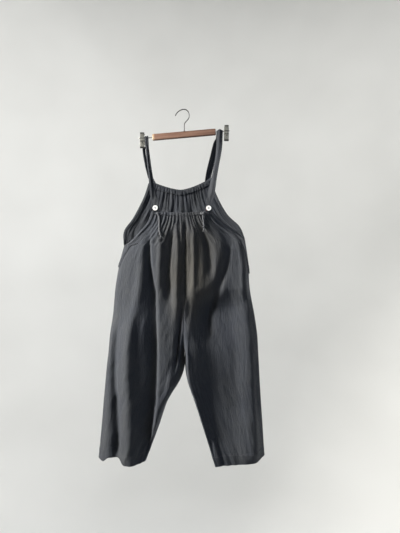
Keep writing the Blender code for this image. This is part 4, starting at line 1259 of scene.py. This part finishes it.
def make_steel(name, dark, pale, stretch, painted_shade_lines=()):
    """Plated steel; the last argument gives the middle and half width of painted shade lines
    down a plate.
    """
    finish = Finish(name, Metallic=0.7, Roughness=0.42)
    brushed = finish.streaks(finish.place, stretch, 4.0, 0.6)
    stains = finish.noise(finish.place, 130.0, 3.0, 0.6)
    tone = finish.weighted(brushed, 0.45, stains, 0.55)
    colour = finish.ramp(tone, ((0.32, dark), (0.62, pale)))
    # painted shade: near-black lines across the plate
    for middle, half in painted_shade_lines:
        sheet = finish.node("UVMap", {"uv_map": "Cloth"}).outputs[0]
        down = finish.node("SeparateXYZ", Vector=sheet).outputs["Y"]
        away = finish.math("ABSOLUTE", finish.math("SUBTRACT", down, middle))
        clear = finish.math("MINIMUM", finish.math("DIVIDE", away, half), 1.0)
        colour = finish.blend(finish.math("SUBTRACT", 1.0, clear), colour,
                              (0.02, 0.02, 0.02, 1.0))
    finish.to_shader(colour, "Base Color")
    rough = finish.math("ADD", finish.math("MULTIPLY", stains, 0.25), 0.28)
    finish.to_shader(rough, "Roughness")
    finish.to_shader(finish.bump(brushed, 0.0002, 0.3), "Normal")
    return finish.material


def make_button_finish():
    finish = Finish("White button", Roughness=0.28, Subsurface_Weight=0.05,
                    Subsurface_Scale=0.003)
    cloud = finish.noise(finish.place, 220.0, 3.0, 0.6)
    return finish.paint(cloud, ((0.30, (0.74, 0.73, 0.70)), (0.65, (0.86, 0.855, 0.83))))


def make_rubber():
    finish = Finish("Clip pad rubber", Roughness=0.75)
    dust = finish.noise(finish.place, 700.0, 3.0)
    stops = ((0.4, (0.020, 0.020, 0.021)), (0.7, (0.050, 0.048, 0.046)))
    return finish.paint(dust, stops, 0.0002, 0.4)


WOOD = make_wood()
STEEL = make_steel("Plated steel", (0.20, 0.195, 0.175), (0.46, 0.45, 0.41),
                   (60.0, 60.0, 900.0))
# painted shade: near-black lines at the rolled lip, in the pressed grooves and at the jaw
CLIP_STEEL = make_steel("Clip steel", (0.15, 0.147, 0.132), (0.33, 0.325, 0.29),
                        (60.0, 60.0, 900.0), ((0.0180, 0.0050), (-0.0010, 0.0030),
                                              (-0.0125, 0.0030), (-0.0365, 0.0050)))
DARK_STEEL = make_steel("Dark steel wire", (0.012, 0.0115, 0.0115), (0.045, 0.044, 0.043),
                        (400.0, 400.0, 60.0))
BUTTON_FINISH = make_button_finish()
RUBBER = make_rubber()
print("made", [m.name for m in (WOOD, STEEL, DARK_STEEL, BUTTON_FINISH, RUBBER)])

# %% [markdown]
# A helper puts a finished bmesh in the scene with its corners moved to their
# place, so that every object keeps its origin at the origin of the model.

# %% Mesh to piece
def solid_piece(name, mesh, place, turn, material):
    """Piece of a mesh: turn is about X, then Y, in radians; place moves it after that."""
    cosine, sine = math.cos(turn[0]), math.sin(turn[0])
    tilt_cosine, tilt_sine = math.cos(turn[1]), math.sin(turn[1])
    for corner in mesh.verts:
        x, y, z = corner.co
        y, z = y * cosine - z * sine, y * sine + z * cosine
        x, z = x * tilt_cosine + z * tilt_sine, z * tilt_cosine - x * tilt_sine
        corner.co = (x + place[0], y + place[1], z + place[2])
    bmesh.ops.recalc_face_normals(mesh, faces=mesh.faces)
    return add_piece(name, mesh_data(name, mesh), material)


def soften(piece, width):
    """Rounds the sharp edges of a piece."""
    rounding = piece.modifiers.new("Soft edges", "BEVEL")
    rounding.width = width
    rounding.segments = 2
    rounding.limit_method = "ANGLE"


def rounded_block(size, edge, segments):
    mesh = bmesh.new()
    bmesh.ops.create_cube(mesh, size=1.0)
    bmesh.ops.scale(mesh, vec=size, verts=mesh.verts)
    bmesh.ops.bevel(mesh, geom=mesh.edges[:], offset=edge, segments=segments, affect="EDGES",
                    profile=0.5, material=-1)
    return mesh


def spun(profile, steps):
    """Surface of a profile of (radius, height) points, turned about Z."""
    mesh = bmesh.new()
    corners = [mesh.verts.new((radius, 0.0, height)) for radius, height in profile]
    edges = [mesh.edges.new(pair) for pair in zip(corners, corners[1:])]
    bmesh.ops.spin(mesh, geom=corners + edges, cent=(0.0, 0.0, 0.0), axis=(0.0, 0.0, 1.0),
                   angle=2.0 * math.pi, steps=steps, use_merge=True)
    bmesh.ops.remove_doubles(mesh, verts=mesh.verts, dist=0.00001)
    bmesh.ops.recalc_face_normals(mesh, faces=mesh.faces)
    return mesh


print("helpers for solids ready")

# %% [markdown]
# ## The buttons
#
# Each strap is buttoned to the front with a sew-through button: a raised round
# rim, a sunk middle with four holes, and dark thread crossed through them.  The
# web with its holes is filled between circles and pushed out to a plate; the rim
# is spun.

# %% Buttons
BUTTON_PLACES = {"left": (-0.1110, -0.0497, -0.385), "right": (0.0885, -0.0497, -0.386)}
BUTTON_RIM = ((0.0066, 0.0004), (0.0068, 0.0000), (0.0084, 0.0000), (0.0092, 0.0005),
              (0.0095, 0.0013), (0.0094, 0.0021), (0.0088, 0.0028), (0.0080, 0.0030),
              (0.0072, 0.0027), (0.0066, 0.0020), (0.0064, 0.0012), (0.0066, 0.0004))
HOLE_PLACE = 0.0022
HOLE_RADIUS = 0.0009
WEB_RADIUS = 0.0068
WEB = (0.0004, 0.0019)      # heights of the web's two faces
BUTTON_THREAD = 0.0015
THREAD_END = 0.12           # share of a stitch that goes down into the hole at each end
CROSS = (((-1, -1), (1, 1)), ((-1, 1), (1, -1)))    # the holes that each stitch joins


def button_web():
    """Round plate with four holes."""
    mesh = bmesh.new()
    edges = []
    circles = [(0.0, 0.0, WEB_RADIUS, 32)]
    for across in (-1.0, 1.0):
        for up in (-1.0, 1.0):
            circles.append((across * HOLE_PLACE, up * HOLE_PLACE, HOLE_RADIUS, 12))
    for x, y, radius, count in circles:
        ring = []
        for step in range(count):
            angle = 2.0 * math.pi * step / count
            ring.append(mesh.verts.new((x + radius * math.cos(angle),
                                        y + radius * math.sin(angle), WEB[0])))
        for first, second in zip(ring, ring[1:] + ring[:1]):
            edges.append(mesh.edges.new((first, second)))
    bmesh.ops.triangle_fill(mesh, edges=edges, use_beauty=True)
    pushed = bmesh.ops.extrude_face_region(mesh, geom=mesh.faces[:], use_keep_orig=True)
    moved = [item for item in pushed["geom"] if isinstance(item, bmesh.types.BMVert)]
    bmesh.ops.translate(mesh, vec=(0.0, 0.0, WEB[1] - WEB[0]), verts=moved)
    bmesh.ops.recalc_face_normals(mesh, faces=mesh.faces)
    return mesh


def join(first, second):
    """Adds the second mesh to the first and frees it."""
    data = bpy.data.meshes.new("joined")
    second.to_mesh(data)
    second.free()
    first.from_mesh(data)
    bpy.data.meshes.remove(data)
    return first


def thread_path(place, start, end, number):
    """Path of a stitch over a button, up out of one hole and down into another."""
    x, y, z = place
    points = []
    for share in np.linspace(-THREAD_END, 1.0 + THREAD_END, 14):
        over = min(max(share, 0.0), 1.0)
        rise = 0.0006 * math.sin(math.pi * over) + 0.0002 * number
        sunk = 0.0016 * float(ease(abs(share - over) / THREAD_END))
        points.append((x + HOLE_PLACE * mix(start[0], end[0], over),
                       y - WEB[1] - 0.0003 - rise + sunk,
                       z + HOLE_PLACE * mix(start[1], end[1], over)))
    return points


for side, place in BUTTON_PLACES.items():
    mesh = join(spun(BUTTON_RIM, 48), button_web())
    button = solid_piece("button_disc_" + side, mesh, place, (0.5 * math.pi, 0.0),
                         BUTTON_FINISH)
    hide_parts("button_" + side)
    soften(button, 0.0002)
    for number, (start, end) in enumerate(CROSS):
        tube("button_thread_%d_%s" % (number + 1, side),
             thread_path(place, start, end, number), BUTTON_THREAD, THREAD_FINISH)
    print("button", side, "with", len(button.data.vertices), "corners")

# %% [markdown]
# ## The hanger
#
# A rounded wooden bar hides the middle of a thin steel rod, which carries the
# straps and the two spring clips.  The wire hook is screwed into the bar's top,
# bends aside and turns in one open loop.  A wire hook could be swept by hand;
# here it is a round curve through the same points as in the CAD model.

# %% Bar, rod and hook
BAR_SIZE = (0.246, 0.012, 0.025)
ROD_LENGTH = 0.352
HOOK_WIRE = 0.0035
HOOK_ROUTE = (
    (-0.0045, -0.0905), (-0.0045, -0.0800), (-0.0045, -0.0700), (-0.0042, -0.0600),
    (-0.0030, -0.0520), (0.0020, -0.0450), (0.0085, -0.0380), (0.0133, -0.0300),
    (0.0150, -0.0210), (0.0130, -0.0110), (0.0075, -0.0030), (0.0000, 0.00175),
    (-0.0100, 0.0020), (-0.0200, -0.0015), (-0.0290, -0.0075), (-0.0355, -0.0150),
    (-0.0390, -0.0225),
)
COLLAR = ((0.0018, 0.0), (0.0042, 0.0), (0.0042, 0.0009), (0.0034, 0.0016),
          (0.0018, 0.0018), (0.0018, 0.0))

bar = solid_piece("wooden_bar", rounded_block(BAR_SIZE, 0.0042, 5), BAR_CENTRE,
                  (0.0, -BAR_TILT), WOOD)
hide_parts("hanger_bar")
end = 0.5 * ROD_LENGTH
shoulder = end - 0.0008
tip = 0.6 * ROD_RADIUS
rod_profile = ((0.0, -end), (tip, -end), (ROD_RADIUS, -shoulder), (ROD_RADIUS, shoulder),
               (tip, end), (0.0, end))
rod = solid_piece("steel_rod", spun(rod_profile, 24), BAR_CENTRE,
                  (0.0, 0.5 * math.pi - BAR_TILT), STEEL)
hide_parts("hanger_rod")
hook = tube("wire_hook", even_points([(x, 0.0, z) for x, z in HOOK_ROUTE], 90), HOOK_WIRE,
            DARK_STEEL)
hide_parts("hanger_hook")
top = BAR_CENTRE[2] + 0.5 * BAR_SIZE[2]
solid_piece("hook_collar", spun(COLLAR, 24), (HOOK_ROUTE[0][0], 0.0, top - 0.0001),
            (0.0, -BAR_TILT), DARK_STEEL)
print("bar, rod and hook made")

# %% [markdown]
# The two spring clips would hold a skirt or trousers by the waist; here they
# hang empty at the rod's ends.  Each has a front and a back plate pressed from
# sheet, with two grooves, a rivet and a rolled top lip, a coiled spring on the
# rod between them, and rubber pads in the jaw.

# %% Clips
CLIP_PLACES = {"left": -0.1610, "right": 0.1640}    # on the rod, from the bar's middle
CLIP_WIDTH = 0.018
CLIP_SHEET = 0.0012
CLIP_MIDDLE = 0.0059        # from the rod's axis to the middle of a plate
CLIP_SHAPE = ((0.0042, 0.0165), (0.0012, 0.0080), (0.0, 0.0030), (0.0, -0.0080),
              (-0.0004, -0.0200), (-0.0022, -0.0360))
CLIP_LIP = 0.0013           # radius of the rolled lip
CLIP_JAW = ((-0.0028, -0.0364), (-0.0036, -0.0366))
CLIP_GROOVES = (-0.0010, -0.0125)
PAD_SIZE = (0.018, 0.0026, 0.010)
PAD_DROP = 0.0330           # of the pad's middle below the rod's axis
PAD_GAP = 0.0003
RIVET = ((0.0, 0.0009), (0.0009, 0.0008), (0.0016, 0.0004), (0.0019, 0.0),
         (0.0019, -0.0006), (0.0, -0.0006))
RIVET_DROP = 0.0180
RIVET_LIFT = 0.0010
SPRING_WIRE = 0.0011
SPRING_RADIUS = 0.00405
SPRING_LENGTH = 0.0135
SPRING_TURNS = 9
SPRING_STEPS = 14           # points to a turn


def clip_grid(place, sign):
    """Plate of a clip: rows go down it, with a rolled lip at the top and a turned jaw."""
    path = smooth_read(CLIP_SHAPE, np.linspace(0.0, len(CLIP_SHAPE) - 1, 70))
    out, up = CLIP_SHAPE[0]
    lip = [(out + CLIP_LIP * math.sin(angle), up + CLIP_LIP * (1.0 - math.cos(angle)))
           for angle in np.radians((200.0, 150.0, 100.0, 50.0))]
    path = np.concatenate((lip, path, CLIP_JAW))
    across = np.linspace(-0.5, 0.5, 19) * CLIP_WIDTH
    grooves = sum(np.exp(-((path[:, 1] - level) / 0.0007) ** 2) for level in CLIP_GROOVES)
    inner = ease((0.5 * CLIP_WIDTH - 0.0012 - np.abs(across)) / 0.0015)
    lean = path[:, 0, None] - 0.0007 * grooves[:, None] * inner[None]
    lean = lean + 0.0006 * (1.0 - (across[None] / (0.5 * CLIP_WIDTH)) ** 2)
    taper = 1.0 - 0.10 * ease((path[:, 1] - 0.004) / 0.012)
    grid = np.empty((len(path), len(across), 3))
    grid[..., 0] = place[0] + across[None] * taper[:, None]
    grid[..., 1] = place[1] + sign * (CLIP_MIDDLE + lean)
    grid[..., 2] = place[2] + path[:, 1, None]
    return grid


def clip_half(place, side, face):
    """Plate, rubber pad and rivet of the front or the back of a clip."""
    sign = OUTWARD[face]
    grid = clip_grid(place, sign)
    plate = cloth_piece("clip_%s_%s" % (face, side), grid, grid[..., 0] - place[0],
                        grid[..., 2] - place[2], (0.0, sign, 0.0), wall=CLIP_SHEET,
                        offset=0.0, material=CLIP_STEEL)
    soften(plate, 0.0003)
    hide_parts("clip_plate_%s_%s" % (face, side))
    depth = CLIP_MIDDLE + CLIP_SHAPE[-1][0] - 0.5 * (CLIP_SHEET + PAD_SIZE[1]) - PAD_GAP
    pad = solid_piece("clip_rubber_%s_%s" % (face, side), rounded_block(PAD_SIZE, 0.0007, 3),
                      (place[0], sign * depth, place[2] - PAD_DROP), (0.0, 0.0), RUBBER)
    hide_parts("clip_pad_%s_%s" % (face, side))
    solid_piece("clip_rivet_%s_%s" % (face, side), spun(RIVET, 20),
                (place[0], sign * (CLIP_MIDDLE + RIVET_LIFT), place[2] - RIVET_DROP),
                (-0.5 * math.pi * sign, 0.0), DARK_STEEL)


def spring_path(place):
    """Path of the spring that is coiled round the rod between the plates."""
    steps = SPRING_TURNS * SPRING_STEPS
    points = []
    for step in range(steps + 1):
        angle = 2.0 * math.pi * step / SPRING_STEPS
        around = SPRING_RADIUS * np.array((0.0, math.cos(angle), math.sin(angle)))
        points.append(place + (step / steps - 0.5) * SPRING_LENGTH * ROD_DIRECTION + around)
    return points


for side, where in CLIP_PLACES.items():
    place = along_rod(where)
    for face in OUTWARD:
        clip_half(place, side, face)
    spring = tube("clip_spring_" + side, spring_path(place), SPRING_WIRE, STEEL)
    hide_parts("clip_barrel_" + side)
print("clips made:", list(CLIP_PLACES))

# %% [markdown]
# ## Stitches
#
# Rows of stitching hold the hems, casings, bindings, pocket edges and straps.
# Each stitch is one small low ball of thread, longer than wide, sunk a little
# in the cloth; all stitches of a row are one mesh.  A bump pattern would cost
# less, but it vanishes at the raking angle of this light.

# %% Stitches
STITCH = (0.0025, 0.00055, 0.00045)     # length, width and height
STITCH_PITCH = 0.0034
STITCH_LIFT = 0.0001        # of a row's line off the cloth
HEM_STITCH = 0.003          # the hem's row is this far below its upper edge


def stitch_ball():
    mesh = bmesh.new()
    bmesh.ops.create_uvsphere(mesh, u_segments=6, v_segments=4, radius=0.5)
    bmesh.ops.scale(mesh, vec=STITCH, verts=mesh.verts)
    corners = np.array([corner.co[:] for corner in mesh.verts])
    faces = [[corner.index for corner in face.verts] for face in mesh.faces]
    mesh.free()
    return corners, faces


BALL_CORNERS, BALL_FACES = stitch_ball()


def stitch_row(points, outs):
    """Places, directions along the row and directions out of the cloth of a row's stitches."""
    reach = reach_along(points)
    count = max(int(reach[-1] / STITCH_PITCH), 2)
    wanted = (np.arange(count) + 0.5) * reach[-1] / count
    places = read_along(wanted, reach, points)
    return places, unit(np.gradient(places, axis=0)), unit(read_along(wanted, reach, outs))


def make_stitches(name, rows):
    """One mesh of all the stitches in rows, which are points and directions out."""
    corners = []
    faces = []
    for points, outs in rows:
        for place, along, out in zip(*stitch_row(points, outs)):
            across = unit(np.cross(out, along))
            first = len(corners) * len(BALL_CORNERS)
            corners.append(place + BALL_CORNERS @ np.array((along, across, out)))
            faces += [[first + corner for corner in face] for face in BALL_FACES]
    data = bpy.data.meshes.new(name)
    data.from_pydata(np.concatenate(corners).tolist(), [], faces)
    data.shade_smooth()
    add_piece(name, data, THREAD_FINISH)
    print(name, len(corners), "stitches")


def hem_row(shape):
    """Line of a hem's stitches and its directions out, a little below the hem's edge."""
    line = []
    outs = []
    for column in range(2, COLUMNS - 1):
        row = np.interp(HEM_STITCH - HEM_TOP, -shape["heights"][:, column], np.arange(ROWS + 1))
        low = int(row)
        point, out = (mix(shape[key][low, column], shape[key][low + 1, column], row - low)
                      for key in ("points", "normals"))
        outs.append(unit(out))
        line.append(point + outs[-1] * (CLOTH + STITCH_LIFT))
    return np.array(line), np.array(outs)


def strap_row(grid, out, column, face):
    """Line along a strap's front (face 1) or back (face -1), and its directions out."""
    width = grid[:, column + 1] - grid[:, column - 1]
    outs = face * facing(unit(np.cross(np.gradient(grid[:, column], axis=0), width)), out)
    return grid[:, column] + outs * (0.5 * STRAP_WALL + STITCH_LIFT), outs


for panel, shape in shapes.items():
    make_stitches("hem_stitches_" + panel, [hem_row(shape)])

for side in SIDE_SIGNS:
    grid = pockets[side]
    outs = surface_normals(grid, -1.0)
    make_stitches("pocket_stitches_" + side,
                  [(grid[:, column] + outs[:, column] * 0.0010, outs[:, column])
                   for column in (5, 1)])
    grid, out = straps[side]
    make_stitches("strap_stitches_" + side, [strap_row(grid, out, column, face)
                                             for face in (-1.0, 1.0) for column in (2, 22)])
    grid = bindings[side]
    outs = unit(np.cross(grid[:, 9] - grid[:, 7], np.gradient(grid[:, 8], axis=0)))
    if np.sum(outs[:20, 1]) > 0.0:
        outs = -outs
    make_stitches("binding_stitches_" + side, [(grid[:, 8] + outs * 0.0005, outs)])

for face, grid in casings.items():
    outs = surface_normals(grid, -1.0)[-2]
    make_stitches("casing_stitches_" + face, [(grid[-2] + outs * 0.0010, outs)])

# %% [markdown]
# ## Stage and light
#
# The photograph's wall is pale and plain, and daylight comes from the upper
# left in front.  A floor that curves up into a round wall far away leaves no
# edge in any view.  One lamp to the left rakes over the cloth like a window; a
# weak bluish lamp, one behind and a dim sky fill its shadows, and four washes
# light the wall and the floor behind.

# %% Floor and round wall
FLOOR = -3.2
STAGE_PROFILE = ((0.0, FLOOR), (1.8, FLOOR), (2.9, FLOOR + 0.20), (3.8, FLOOR + 0.65),
                 (4.5, FLOOR + 1.35), (4.9, FLOOR + 2.3), (5.0, FLOOR + 3.4),
                 (5.0, FLOOR + 9.0))


def make_stage():
    data = mesh_data("stage", spun(STAGE_PROFILE, 96))
    finish = Finish("Pale plaster", Roughness=0.95)
    stops = ((0.3, (0.70, 0.70, 0.68)), (0.7, (0.76, 0.76, 0.74)))
    data.materials.append(finish.paint(finish.noise(finish.place, 0.8, 2.0), stops))
    made = bpy.data.objects.new("stage", data)
    scene.collection.objects.link(made)


make_stage()
print("floor at", FLOOR)

# %% Lamps and sky
def make_lamp(name, place, aim, size, power, colour, spread=180.0):
    lamp = bpy.data.lights.new(name, "AREA")
    lamp.shape = "DISK"
    lamp.spread = math.radians(spread)
    lamp.size = size
    lamp.energy = power
    lamp.color = colour
    made = bpy.data.objects.new(name, lamp)
    made.location = place
    direction = Vector(aim) - Vector(place)
    made.rotation_euler = direction.to_track_quat("-Z", "Y").to_euler()
    made.visible_camera = False
    scene.collection.objects.link(made)


make_lamp("Window", (-3.1, -1.2, 0.8), (0.0, 0.0, -0.75), 1.0, 46.0, (1.0, 0.98, 0.94), 50.0)
make_lamp("Sky fill", (2.6, -2.6, 0.2), (0.0, 0.0, -0.8), 2.5, 7.0, (0.40, 0.58, 1.0), 100.0)
make_lamp("Back fill", (1.5, 3.2, 1.1), (0.0, 0.0, -0.7), 2.0, 58.0, (0.97, 0.98, 1.0), 100.0)
for across, upper, lower in ((-1.6, 70.0, 46.0), (1.6, 52.0, 24.0)):
    make_lamp("Wall wash", (across, 1.2, 2.2), (1.7 * across, 5.0, 2.6), 2.0, upper,
              (1.0, 0.995, 0.985))
    make_lamp("Floor wash", (across, 1.2, -0.4), (1.3 * across, 4.4, -2.2), 2.0, lower,
              (1.0, 0.995, 0.985))

sky = bpy.data.worlds.new("Sky")
sky.use_nodes = True
sky.node_tree.nodes["Background"].inputs["Color"].default_value = (0.72, 0.84, 1.0, 1.0)
sky.node_tree.nodes["Background"].inputs["Strength"].default_value = 0.05
scene.world = sky
scene.view_settings.view_transform = "Standard"
print("lamps placed")
